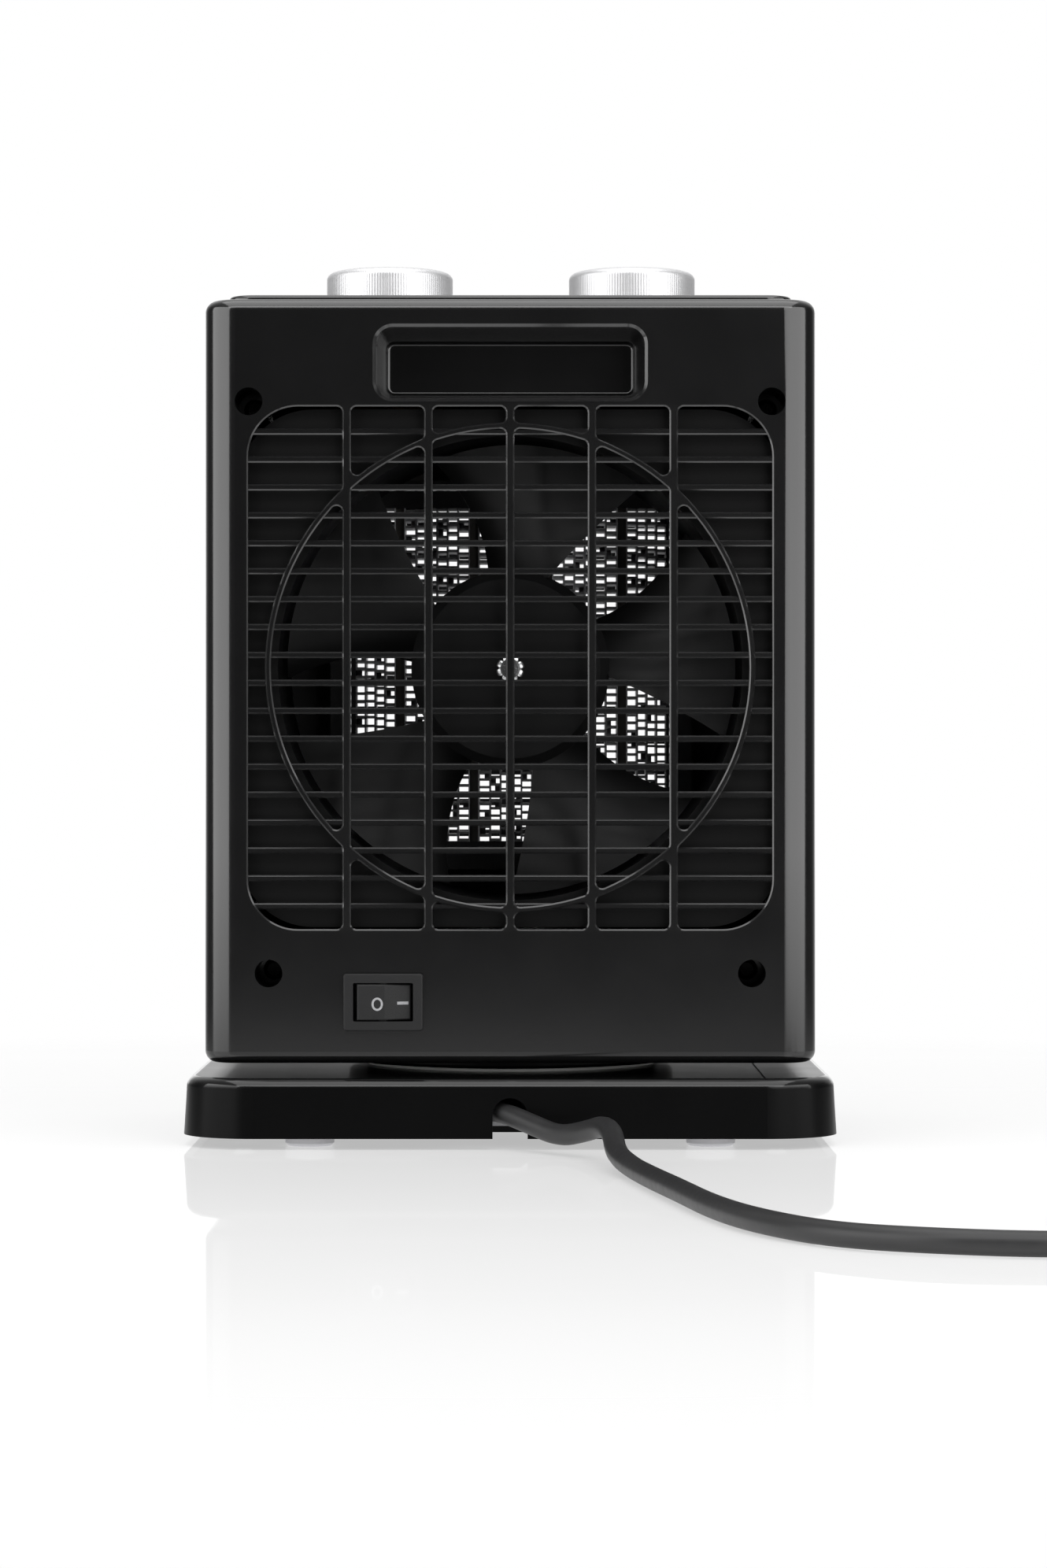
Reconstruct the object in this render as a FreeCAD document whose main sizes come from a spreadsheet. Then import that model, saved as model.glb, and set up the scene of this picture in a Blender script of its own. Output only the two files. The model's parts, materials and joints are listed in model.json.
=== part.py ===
import FreeCAD, Part
import math
import os
import re
import Sketcher

# An oscillating ceramic fan heater. +Z is up, the outlet faces -Y, and z = 0 is the
# surface that the rubber feet stand on, under the middle of the base. Millimetres.

DIMENSIONS = {
    # base
    "base_width": 178, "base_depth": 142, "base_corner": 20, "base_draft": 3.5,
    "base_bottom": 3, "base_top": 19, "base_edge": 3, "wall": 2.5,
    "plate_thickness": 2, "foot_radius": 6.65, "foot_spacing_across": 109,
    "foot_spacing_along": 110, "notch_radius": 4.7, "notch_height": 9.2,
    "boss_radius": 3.6, "boss_spacing_across": 146, "boss_spacing_along": 92,
    "screw_radius": 1.4, "pilot_radius": 1.45, "head_radius": 3, "head_height": 1.6,
    # swivel
    "disc_radius": 46, "disc_bottom": 20.1, "disc_top": 22.6, "post_radius": 10, "post_bore": 7,
    "post_flange": 19, "running_gap": 0.06, "sleeve_radius": 12.5, "sleeve_top": 28.4,
    "arm_bottom": 30.4, "arm_top": 32.6, "swivel_limit": 35, "crank_offset": 32, "pin_radius": 2,
    "pin_clearance": 0.5, "crank_bottom": 36.6, "crank_top": 39.6, "motor_bottom": 41,
    "bracket_thickness": 1.2, "synchronous_radius": 24.5, "synchronous_height": 19,
    # head
    "body_width": 166, "body_depth": 125, "body_bottom": 22.6, "body_top": 229.5,
    "body_corner": 9, "body_edge": 3.2, "shell_split": 20, "seam": 0.4, "lip": 1.2,
    "panel_width": 154, "panel_depth": 108, "panel_top": 231.4, "panel_corner": 7,
    "panel_edge": 1, "opening_width": 146, "opening_depth": 100,
    "knob_radius": 18, "knob_top": 243.8, "knob_gap": 0.6, "knob_spacing": 69,
    "knob_edge": 1.6, "spindle_radius": 3,
    "grip_width": 72.8, "grip_height": 19.4, "grip_corner": 4.7, "grip_depth": 18.5,
    "grip_draft": 8, "grip_level": 212.1, "grip_wall": 2, "grip_bevel": 0.8, "grip_floor_round": 1,
    "well_radius": 3.75, "well_wall": 1.5, "well_depth": 30, "well_floor": 2.5,
    "upper_well_across": 70.7, "upper_well_level": 201.6,
    "lower_well_across": 65.3, "lower_well_level": 47,
    # intake grille
    "window_width": 141.7, "window_height": 141.3, "window_corner": 13.5, "centre_level": 129.6,
    "grille_border": 0.6, "upright_pitch": 22.1, "upright_width": 2.3, "ring_radius": 66.3,
    "ring_width": 1.6, "bar_pitch": 7.55, "bar_height": 1.75, "first_bar": 6.2,
    "bar_recess": 0.5, "bar_depth": 1.6, "cell_corner": 1.6, "cell_chamfer": 0.4,
    # rocker switch
    "switch_across": 34.3, "switch_level": 39.3, "bezel_width": 21.4, "bezel_height": 15.4,
    "bezel_thickness": 1.7, "switch_width": 19, "switch_height": 12.9, "switch_depth": 20,
    "rocker_window_width": 16.2, "rocker_window_height": 10.4, "rocker_width": 15,
    "rocker_height": 9.7, "rocker_swing": 9, "rocker_pin_radius": 1.2, "rocker_pin_length": 11.2,
    # fan and heating block
    "duct_radius": 63, "duct_wall": 2, "duct_rear": 58, "duct_front": -8, "duct_plate_width": 147,
    "duct_plate_height": 140.4, "duct_plate_corner": 20, "tunnel_side": 134, "tunnel_front": -55.4,
    "blade_radius": 61.4, "hub_radius": 27, "hub_rear": 54, "hub_front": 34,
    "motor_radius": 21, "motor_rear": 30, "motor_front": -4, "shaft_radius": 2,
    "block_width": 89.4, "block_height": 96, "block_front": -24, "block_rear": -10,
    "bar_spacing": 21.3, "heating_bar_width": 2.4, "electrode_width": 0.4,
    "heater_frame_width": 104, "heater_frame_height": 112, "fin_pitch": 2.3, "fin_thickness": 0.25,
    # outlet
    "outlet_width": 130, "outlet_height": 136, "outlet_corner": 10, "slat_pitch": 9.2,
    "slat_height": 2, "slat_depth": 7,
    # mains lead
    "cord_radius": 2.8, "cord_level": 10.2, "clamp_along": 61, "clamp_bottom": 6,
    "clamp_top": 8.8, "clamp_width": 30, "coil_radius": 29.4, "coil_thickness": 19.6,
    "coil_height": 11.6,
    "plug_pin_radius": 2.4, "plug_pin_spacing": 19, "plug_pin_length": 19,
}

doc = FreeCAD.newDocument("ceramic_heater")
sizes = doc.addObject("Spreadsheet::Sheet", "sizes")
for row, (alias, number) in enumerate(DIMENSIONS.items(), start=1):
    sizes.set(f"A{row}", alias)
    sizes.set(f"B{row}", str(number))
    sizes.setAlias(f"B{row}", alias)
doc.recompute()

UPRIGHT = FreeCAD.Rotation()
TO_REAR = FreeCAD.Rotation(FreeCAD.Vector(1, 0, 0), -90)
TO_FRONT = FreeCAD.Rotation(FreeCAD.Vector(1, 0, 0), 90)
DOWNWARD = FreeCAD.Rotation(FreeCAD.Vector(1, 0, 0), 180)
nodes = {}


def bound(text):
    """The expression with each dimension's name turned into its cell of the sheet."""
    return re.sub(
        r"[a-z_]{3,}", lambda word: ("sizes." if word[0] in DIMENSIONS else "") + word[0], str(text)
    )


def value(text):
    return float(sizes.evalExpression(bound(text)))


def bind(item, **expressions):
    for key, text in expressions.items():
        item.setExpression(key, bound(text))
    return item


def place(item, at, rotation=UPRIGHT):
    """Puts an object's own origin at three expressions, turned by a rotation."""
    item.Placement = FreeCAD.Placement(FreeCAD.Vector(*[value(text) for text in at]), rotation)
    for axis, text in zip("xyz", at):
        item.setExpression(f"Placement.Base.{axis}", bound(text))
    return item


def box(name, low, size):
    item = doc.addObject("Part::Box", name)
    bind(item, Length=size[0], Width=size[1], Height=size[2])
    return place(item, low)


def cylinder(name, radius, length, at, rotation=UPRIGHT):
    item = doc.addObject("Part::Cylinder", name)
    bind(item, Radius=radius, Height=length)
    return place(item, at, rotation)


def cone(name, radii, length, at, rotation=UPRIGHT):
    item = doc.addObject("Part::Cone", name)
    bind(item, Radius1=radii[0], Radius2=radii[1], Height=length)
    return place(item, at, rotation)


def fuse(name, *shapes):
    item = doc.addObject("Part::MultiFuse", name)
    item.Shapes = list(shapes)
    item.Refine = True
    return item


def cut(name, base, *tools):
    item = doc.addObject("Part::Cut", name)
    item.Base = base
    item.Tool = tools[0] if len(tools) == 1 else fuse(f"{name}_tools", *tools)
    item.Refine = True
    return item


def common(name, base, tool):
    item = doc.addObject("Part::Common", name)
    item.Base = base
    item.Tool = tool
    return item


def group(name, *shapes):
    item = doc.addObject("Part::Compound", name)
    item.Links = list(shapes)
    return item


def feature(name, shape):
    item = doc.addObject("Part::Feature", name)
    item.Shape = shape
    return item


def node(name, item):
    """Keeps a finished piece under the name of its file."""
    item.Label = name
    nodes[name] = item
    return item


def origin_plane(body, role):
    return next(f for f in body.Origin.OriginFeatures if f.Role == role)


def new_body(name, plane):
    body = doc.addObject("PartDesign::Body", name)
    sketch = body.newObject("Sketcher::SketchObject", f"{name}_sketch")
    sketch.AttachmentSupport = [(origin_plane(body, plane), "")]
    sketch.MapMode = "FlatFace"
    return body, sketch


def limit(sketch, kind, where, name, text):
    """A driving distance or radius of a sketch, bound to the sheet."""
    index = sketch.addConstraint(Sketcher.Constraint(kind, *where, value(text)))
    sketch.renameConstraint(index, name)
    sketch.setExpression(f"Constraints.{name}", bound(text))


def rounded_rectangle(sketch, width, height, radius):
    """A rectangle with round corners about the sketch's origin: four sides, then four arcs."""
    half_x, half_y, r = value(width) / 2, value(height) / 2, value(radius)
    point = FreeCAD.Vector
    sides = [
        (point(r - half_x, -half_y), point(half_x - r, -half_y)),
        (point(half_x, r - half_y), point(half_x, half_y - r)),
        (point(half_x - r, half_y), point(r - half_x, half_y)),
        (point(-half_x, half_y - r), point(-half_x, r - half_y)),
    ]
    for start, end in sides:
        sketch.addGeometry(Part.LineSegment(start, end), False)
    for turn, (across, along) in enumerate([(1, -1), (1, 1), (-1, 1), (-1, -1)]):
        middle = point(across * (half_x - r), along * (half_y - r))
        circle = Part.Circle(middle, point(0, 0, 1), r)
        first = math.radians(90 * turn - 90)
        sketch.addGeometry(Part.ArcOfCircle(circle, first, first + math.pi / 2), False)
    for side in range(4):
        sketch.addConstraint(Sketcher.Constraint("Tangent", side, 2, 4 + side, 1))
        sketch.addConstraint(Sketcher.Constraint("Tangent", 4 + side, 2, (side + 1) % 4, 1))
    for side in (0, 2):
        sketch.addConstraint(Sketcher.Constraint("Horizontal", side))
        sketch.addConstraint(Sketcher.Constraint("Vertical", side + 1))
    for arc in (5, 6, 7):
        sketch.addConstraint(Sketcher.Constraint("Equal", 4, arc))
    limit(sketch, "Radius", (4,), "corner", radius)
    limit(sketch, "DistanceX", (3, 1, 1, 1), "width", width)
    limit(sketch, "DistanceY", (0, 1, 2, 1), "height", height)
    limit(sketch, "DistanceX", (-1, 1, 1, 1), "half_width", f"({width}) / 2")
    limit(sketch, "DistanceY", (-1, 1, 2, 1), "half_height", f"({height}) / 2")


def rounded_pad(name, width, height, radius, length, at, rotation=UPRIGHT, draft=None):
    body, sketch = new_body(name, "XY_Plane")
    rounded_rectangle(sketch, width, height, radius)
    pad = body.newObject("PartDesign::Pad", f"{name}_pad")
    pad.Profile = sketch
    bind(pad, Length=length)
    if draft:
        bind(pad, TaperAngle=draft)
    return place(body, at, rotation)


def soften(body, radius, chosen):
    """Fillets the edges of a body's last feature that chosen(edge) picks, in its own frame."""
    doc.recompute()
    base = body.Tip
    names = [
        f"Edge{i}" for i, edge in enumerate(base.Shape.Edges, start=1) if chosen(edge.BoundBox)
    ]
    fillet = body.newObject("PartDesign::Fillet", f"{body.Name}_fillet")
    fillet.Base = (base, names)
    bind(fillet, Radius=radius)
    body.Tip = fillet
    return body


def turned(name, outline, at, rotation=UPRIGHT):
    """A body turned about its own Z axis from (radius, height) corner expressions."""
    body, sketch = new_body(name, "XZ_Plane")
    corners = [FreeCAD.Vector(value(r), value(z), 0) for r, z in outline]
    for start, end in zip(corners, corners[1:] + corners[:1]):
        sketch.addGeometry(Part.LineSegment(start, end), False)
    for i, (radius, height) in enumerate(outline):
        sketch.addConstraint(Sketcher.Constraint("Coincident", i - 1 if i else len(outline) - 1, 2, i, 1))
        if abs(corners[i].x) < 1e-9:
            sketch.addConstraint(Sketcher.Constraint("PointOnObject", i, 1, -2))
        else:
            limit(sketch, "DistanceX", (-1, 1, i, 1), f"radius_{i}", radius)
        if abs(corners[i].y) < 1e-9:
            sketch.addConstraint(Sketcher.Constraint("PointOnObject", i, 1, -1))
        else:
            limit(sketch, "DistanceY", (-1, 1, i, 1), f"height_{i}", height)
    revolution = body.newObject("PartDesign::Revolution", f"{name}_revolution")
    revolution.Profile = sketch
    revolution.ReferenceAxis = (sketch, ["V_Axis"])
    revolution.Angle = 360
    return place(body, at, rotation)


def tube(name, outer, inner, length, at, rotation=UPRIGHT):
    outline = [(inner, "0"), (outer, "0"), (outer, length), (inner, length)]
    return turned(name, outline, at, rotation)


def screw(name, at, length, rotation=UPRIGHT):
    """A round-headed screw whose head stands on the point and whose shank runs along +Z."""
    outline = [
        ("0", "-head_height"), ("head_radius * 0.6", "-head_height"), ("head_radius", "0 - 0.5"),
        ("head_radius", "0"), ("screw_radius", "0"), ("screw_radius", f"{length} - 1"),
        ("screw_radius * 0.4", length), ("0", length),
    ]
    slot_width = "0.7"
    body = turned(f"{name}_turned", outline, at, rotation)
    slot = doc.addObject("Part::Box", f"{name}_slot")
    bind(slot, Length="head_radius * 1.1", Width=slot_width, Height="0.8")
    cross = doc.addObject("Part::Box", f"{name}_cross")
    bind(cross, Length=slot_width, Width="head_radius * 1.1", Height="0.8")
    doc.recompute()
    for tool in (slot, cross):
        middle = FreeCAD.Vector(-tool.Length.Value / 2, -tool.Width.Value / 2, -value("head_height"))
        tool.Placement = FreeCAD.Placement(body.Placement.Base + rotation.multVec(middle), rotation)
    return cut(name, body, slot, cross)


def around(across, along):
    """The four signed (x, y) expressions of a rectangle's corners."""
    return [(f"{x} * {across} / 2", f"{y} * {along} / 2") for x in (-1, 1) for y in (-1, 1)]


# ---------------------------------------------------------------- base
CLAMP_SCREWS = ("-6", "18")


def base_shell():
    outer = rounded_pad(
        "base_outer", "base_width", "base_depth", "base_corner", "base_top - base_bottom",
        ("0", "0", "base_bottom"), draft="-base_draft",
    )
    top = value("base_top - base_bottom")
    soften(outer, "base_edge", lambda edge: edge.ZMin > top - 0.01)
    inner = rounded_pad(
        "base_inner", "base_width - 2 * wall", "base_depth - 2 * wall", "base_corner - wall",
        "base_top - base_bottom - wall + 1", ("0", "0", "base_bottom - 1"), draft="-base_draft",
    )
    hollow = cut("base_hollow", outer, inner)
    bosses = [
        cylinder(f"base_boss_{i}", "boss_radius",
                 "base_top - wall / 2 - base_bottom - plate_thickness - 0.6",
                 (x, y, "base_bottom + plate_thickness + 0.6"))
        for i, (x, y) in enumerate(around("boss_spacing_across", "boss_spacing_along"))
    ]
    clamp_bosses = [
        cylinder(f"clamp_boss_{i}", "boss_radius", "base_top - wall / 2 - clamp_top",
                 (across, "clamp_along", "clamp_top"))
        for i, across in enumerate(CLAMP_SCREWS)
    ]
    pilots = [
        cylinder(f"base_pilot_{i}", "pilot_radius", "9", (x, y, "base_bottom"))
        for i, (x, y) in enumerate(around("boss_spacing_across", "boss_spacing_along"))
    ]
    pilots += [
        cylinder(f"clamp_pilot_{i}", "pilot_radius", "6", (across, "clamp_along", "clamp_top - 1"))
        for i, across in enumerate(CLAMP_SCREWS)
    ]
    post_screw_holes = [
        cylinder(f"post_pilot_{i}", "pilot_radius", "4", (x, y, "base_top - wall - 0.5"))
        for i, (x, y) in enumerate(POST_SCREWS)
    ]
    arch = cylinder("notch_arch", "notch_radius", "16", ("0", "base_depth / 2 - 12", "notch_height"), TO_REAR)
    slot = box("notch_slot", ("-notch_radius", "base_depth / 2 - 12", "0"),
               ("2 * notch_radius", "16", "notch_height"))
    hub_hole = cylinder("base_hub_hole", "post_radius + 0.1", "8", ("0", "0", "base_top - 5"))
    groove = box("base_groove", ("-68.8", "-base_depth", "base_top - 0.35"), ("0.6", "2 * base_depth", "1"))
    solid = fuse("base_solid", hollow, *bosses, *clamp_bosses)
    return cut("base_shell", solid, arch, slot, hub_hole, groove, *pilots, *post_screw_holes)


def base_bottom_plate():
    plate = rounded_pad(
        "plate_blank", "base_width - 2 * wall - 0.8", "base_depth - 2 * wall - 0.8",
        "base_corner - wall - 0.4", "plate_thickness", ("0", "0", "base_bottom + 0.4"),
    )
    holes = [
        cylinder(f"plate_hole_{i}", "screw_radius + 0.2", "8", (x, y, "0"))
        for i, (x, y) in enumerate(around("boss_spacing_across", "boss_spacing_along"))
    ]
    recesses = [
        cylinder(f"plate_recess_{i}", "foot_radius - 1.5", "8", (x, y, "0"))
        for i, (x, y) in enumerate(around("foot_spacing_across", "foot_spacing_along"))
    ]
    notch = box("plate_notch", ("-18", "base_depth / 2 - 17", "0"), ("clamp_width + 12", "20", "20"))
    return cut("base_bottom_plate", plate, notch, *holes, *recesses)


def rubber_feet():
    outline = [
        ("0", "0"), ("foot_radius - 0.8", "0"), ("foot_radius", "0.8"),
        ("foot_radius", "base_bottom + 0.4"), ("foot_radius - 1.6", "base_bottom + 0.4"),
        ("foot_radius - 1.6", "base_bottom + 0.4 + plate_thickness"),
        ("0", "base_bottom + 0.4 + plate_thickness"),
    ]
    feet = [
        turned(f"foot_{i}", outline, (x, y, "0"))
        for i, (x, y) in enumerate(around("foot_spacing_across", "foot_spacing_along"))
    ]
    return group("rubber_feet", *feet)


def base_screws():
    return group("base_screws", *[
        screw(f"base_screw_{i}", (x, y, "base_bottom + 0.4"), "7")
        for i, (x, y) in enumerate(around("boss_spacing_across", "boss_spacing_along"))
    ])


def cord_clamp():
    bar = rounded_pad("clamp_blank", "clamp_width", "7", "2", "clamp_top - clamp_bottom",
                      ("6", "clamp_along", "clamp_bottom"))
    lie_along = FreeCAD.Rotation(FreeCAD.Vector(0, 0, 1), -35).multiply(TO_FRONT)
    saddle = cylinder("clamp_saddle", "cord_radius + 0.1", "40",
                      ("-4", "base_depth / 2 + 4", "cord_level"), lie_along)
    holes = [
        cylinder(f"clamp_hole_{i}", "screw_radius + 0.1", "6", (across, "clamp_along", "clamp_bottom - 1"))
        for i, across in enumerate(CLAMP_SCREWS)
    ]
    return cut("cord_clamp", bar, saddle, *holes)


def clamp_screws():
    return group("clamp_screws", *[
        screw(f"clamp_screw_{i}", (across, "clamp_along", "clamp_bottom"), "7")
        for i, across in enumerate(CLAMP_SCREWS)
    ])


# ---------------------------------------------------------------- swivel
EAR_SCREWS = ("-28.5", "28.5")
BRACKET_SCREWS = ("-42", "42")
POST_SCREWS = [
    (f"15 * cos({angle})", f"15 * sin({angle})") for angle in (30, 150, 270)
]
DISC_SCREWS = [
    (f"36 * cos({angle})", f"36 * sin({angle})") for angle in (60, 180, 300)
]


def pivot_post():
    flange_top = "base_top - wall"
    outline = [
        ("post_bore", f"{flange_top} - 2"), ("post_flange", f"{flange_top} - 2"),
        ("post_flange", flange_top), ("post_radius", flange_top), ("post_radius", "arm_top"),
        ("post_bore", "arm_top"),
    ]
    post = turned("post_turned", outline, ("0", "0", "0"))
    holes = [
        cylinder(f"post_hole_{i}", "screw_radius + 0.1", "6", (x, y, "base_top - wall - 4"))
        for i, (x, y) in enumerate(POST_SCREWS)
    ]
    return cut("pivot_post", post, *holes)


def post_screws():
    return group("post_screws", *[
        screw(f"post_screw_{i}", (x, y, "base_top - wall - 2"), "3.6")
        for i, (x, y) in enumerate(POST_SCREWS)
    ])


def turntable_disc():
    outline = [
        ("post_radius + running_gap", "disc_bottom"), ("disc_radius - 0.8", "disc_bottom"),
        ("disc_radius", "disc_bottom + 0.8"), ("disc_radius", "disc_top"),
        ("sleeve_radius", "disc_top"), ("sleeve_radius", "sleeve_top"),
        ("post_radius + running_gap", "sleeve_top"),
    ]
    disc = turned("disc_turned", outline, ("0", "0", "0"))
    holes = [
        cylinder(f"disc_hole_{i}", "pilot_radius", "4", (x, y, "disc_bottom - 0.5"))
        for i, (x, y) in enumerate(DISC_SCREWS)
    ]
    return cut("turntable_disc", disc, *holes)


def turntable_screws():
    """Driven from inside the head, down through its floor into the disc."""
    return group("turntable_screws", *[
        screw(f"turntable_screw_{i}", (x, y, "body_bottom + wall"), "4.2", DOWNWARD)
        for i, (x, y) in enumerate(DISC_SCREWS)
    ])


def drive_arm():
    """Fixed to the post; its slot leads the crank's pin."""
    reach = "crank_offset + crank_offset * sin(swivel_limit)"
    near = "crank_offset - crank_offset * sin(swivel_limit)"
    collar = tube("arm_collar", "post_radius + 3.5", "post_radius", "arm_top - arm_bottom",
                  ("0", "0", "arm_bottom"))
    blade = box("arm_blade", ("-5.5", f"-({reach}) - 5", "arm_bottom"),
                ("11", f"{reach} + 5 - post_radius - 1", "arm_top - arm_bottom"))
    slot = box("arm_slot", ("-pin_radius - 0.2", f"-({reach}) - pin_radius", "arm_bottom - 1"),
               ("2 * pin_radius + 0.4", f"{reach} - ({near}) + 2 * pin_radius", "6"))
    clear = cylinder("arm_clear", "post_radius", "6", ("0", "0", "arm_bottom - 1"))
    return cut("drive_arm", fuse("arm_solid", collar, blade), slot, clear)


def crank_disc():
    throw = "crank_offset * sin(swivel_limit)"
    disc = cylinder("crank_plate", f"{throw} + 4", "crank_top - crank_bottom",
                    ("0", "-crank_offset", "crank_bottom"))
    boss = cylinder("crank_boss", "6", "crank_top - crank_bottom + 1",
                    ("0", "-crank_offset", "crank_bottom"))
    pin = cylinder("crank_pin", "pin_radius", "crank_bottom - arm_top - pin_clearance + 1",
                   ("0", f"-crank_offset - {throw}", "arm_top + pin_clearance"))
    bore = cylinder("crank_bore", "3", "10", ("0", "-crank_offset", "crank_bottom + 0.8"))
    return cut("crank_disc", fuse("crank_solid", disc, boss, pin), bore)


def oscillation_motor():
    can = cylinder("synchronous_can", "synchronous_radius", "synchronous_height - 5",
                   ("0", "-crank_offset", "motor_bottom + 5"))
    gearbox = cylinder("synchronous_gearbox", "synchronous_radius - 1", "5",
                       ("0", "-crank_offset", "motor_bottom"))
    ears = rounded_pad("synchronous_ears", "66", "10", "4.9", "1", ("0", "-crank_offset", "motor_bottom"))
    holes = [
        cylinder(f"ear_hole_{i}", "screw_radius + 0.2", "6", (across, "-crank_offset", "motor_bottom - 1"))
        for i, across in enumerate(EAR_SCREWS)
    ]
    return cut("oscillation_motor", fuse("synchronous_solid", can, gearbox, ears), *holes)


def oscillation_bracket():
    """A steel strip that carries the motor over the crank, on two posts of the head's floor."""
    strip = rounded_pad("bracket_strip", "96", "26", "5", "bracket_thickness",
                        ("0", "-crank_offset", "motor_bottom - bracket_thickness"))
    bore = cylinder("strip_bore", "8", "6", ("0", "-crank_offset", "motor_bottom - 3"))
    holes = [
        cylinder(f"strip_hole_{i}", "pilot_radius", "6", (across, "-crank_offset", "motor_bottom - 3"))
        for i, across in enumerate(EAR_SCREWS + BRACKET_SCREWS)
    ]
    return cut("oscillation_bracket", strip, bore, *holes)


def motor_screws():
    ears = [
        screw(f"ear_screw_{i}", (across, "-crank_offset", "motor_bottom + 1"), "4", DOWNWARD)
        for i, across in enumerate(EAR_SCREWS)
    ]
    ends = [
        screw(f"bracket_screw_{i}", (across, "-crank_offset", "motor_bottom"), "8", DOWNWARD)
        for i, across in enumerate(BRACKET_SCREWS)
    ]
    return group("motor_screws", *ears, *ends)


# ---------------------------------------------------------------- head shells
WELLS = [
    (f"{side} * {across}", level)
    for across, level in (
        ("upper_well_across", "upper_well_level"), ("lower_well_across", "lower_well_level")
    )
    for side in (-1, 1)
]


def housing_block(name, inset):
    return rounded_pad(
        name, f"body_width - 2 * {inset}", f"body_depth - 2 * {inset}", f"body_corner - {inset}",
        f"body_top - body_bottom - 2 * {inset}", ("0", "0", f"body_bottom + {inset}"),
    )


def housing_skin():
    outer = housing_block("housing_outer", "0")
    height = value("body_top - body_bottom")
    soften(outer, "body_edge", lambda edge: edge.ZMax < 0.01 or edge.ZMin > height - 0.01)
    return cut("housing_skin", outer, housing_block("housing_inner", "wall"))


def panel_opening(name):
    return box(name, ("-opening_width / 2", "-opening_depth / 2", "body_top - 2 * wall"),
               ("opening_width", "opening_depth", "4 * wall"))


def front_shell(skin):
    region = box("front_region", ("-body_width", "-body_depth", "0"),
                 ("2 * body_width", "body_depth + shell_split", "2 * body_top"))
    half = common("front_half", skin, region)
    lip_region = box("lip_region", ("-body_width", "shell_split - 4", "0"),
                     ("2 * body_width", "8", "2 * body_top"))
    lip_outer = housing_block("lip_outer", "(wall + 0.05)")
    lip_inner = housing_block("lip_inner", "(wall + lip)")
    lip_band = common("lip_band", cut("lip_ring", lip_outer, lip_inner), lip_region)
    outlet = rounded_pad("outlet_hole", "outlet_width", "outlet_height", "outlet_corner", "12",
                         ("0", "-body_depth / 2 + 6", "centre_level"), TO_FRONT)
    sleeve_hole = cylinder("sleeve_hole", "sleeve_radius + 0.1", "10", ("0", "0", "body_bottom - 2"))
    floor_holes = [
        cylinder(f"floor_hole_{i}", "screw_radius + 0.2", "6", (x, y, "body_bottom - 1"))
        for i, (x, y) in enumerate(DISC_SCREWS)
    ]
    post_end = "body_depth / 2 - well_depth - 0.1"
    posts = [
        cylinder(f"front_post_{i}", "well_radius + 0.9", "44", (x, f"{post_end} - 44", z), TO_REAR)
        for i, (x, z) in enumerate(WELLS)
    ]
    ribs = []
    for i, (x, z) in enumerate(WELLS):
        outward = -19 if x.startswith("-") else 3
        rib = box(f"rib_box_{i}", (f"{x} + {outward}", f"{post_end} - 44", f"{z} - 1"), ("16", "30", "2"))
        ribs.append(common(f"rib_{i}", rib, housing_block(f"rib_room_{i}", "(wall / 2)")))
    pilots = [
        cylinder(f"front_pilot_{i}", "pilot_radius", "20", (x, f"{post_end} - 19", z), TO_REAR)
        for i, (x, z) in enumerate(WELLS)
    ]
    motor_posts = [
        cylinder(f"motor_post_{i}", "4", "motor_bottom - bracket_thickness - body_bottom - 1",
                 (across, "-crank_offset", "body_bottom + 1"))
        for i, across in enumerate(BRACKET_SCREWS)
    ]
    motor_pilots = [
        cylinder(f"motor_pilot_{i}", "pilot_radius", "12", (across, "-crank_offset", "motor_bottom - 10"))
        for i, across in enumerate(BRACKET_SCREWS)
    ]
    solid = fuse("front_solid", half, lip_band, *posts, *ribs, *motor_posts)
    return cut("front_shell", solid, outlet, sleeve_hole, panel_opening("front_panel_opening"),
               *floor_holes, *pilots, *motor_pilots)


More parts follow.
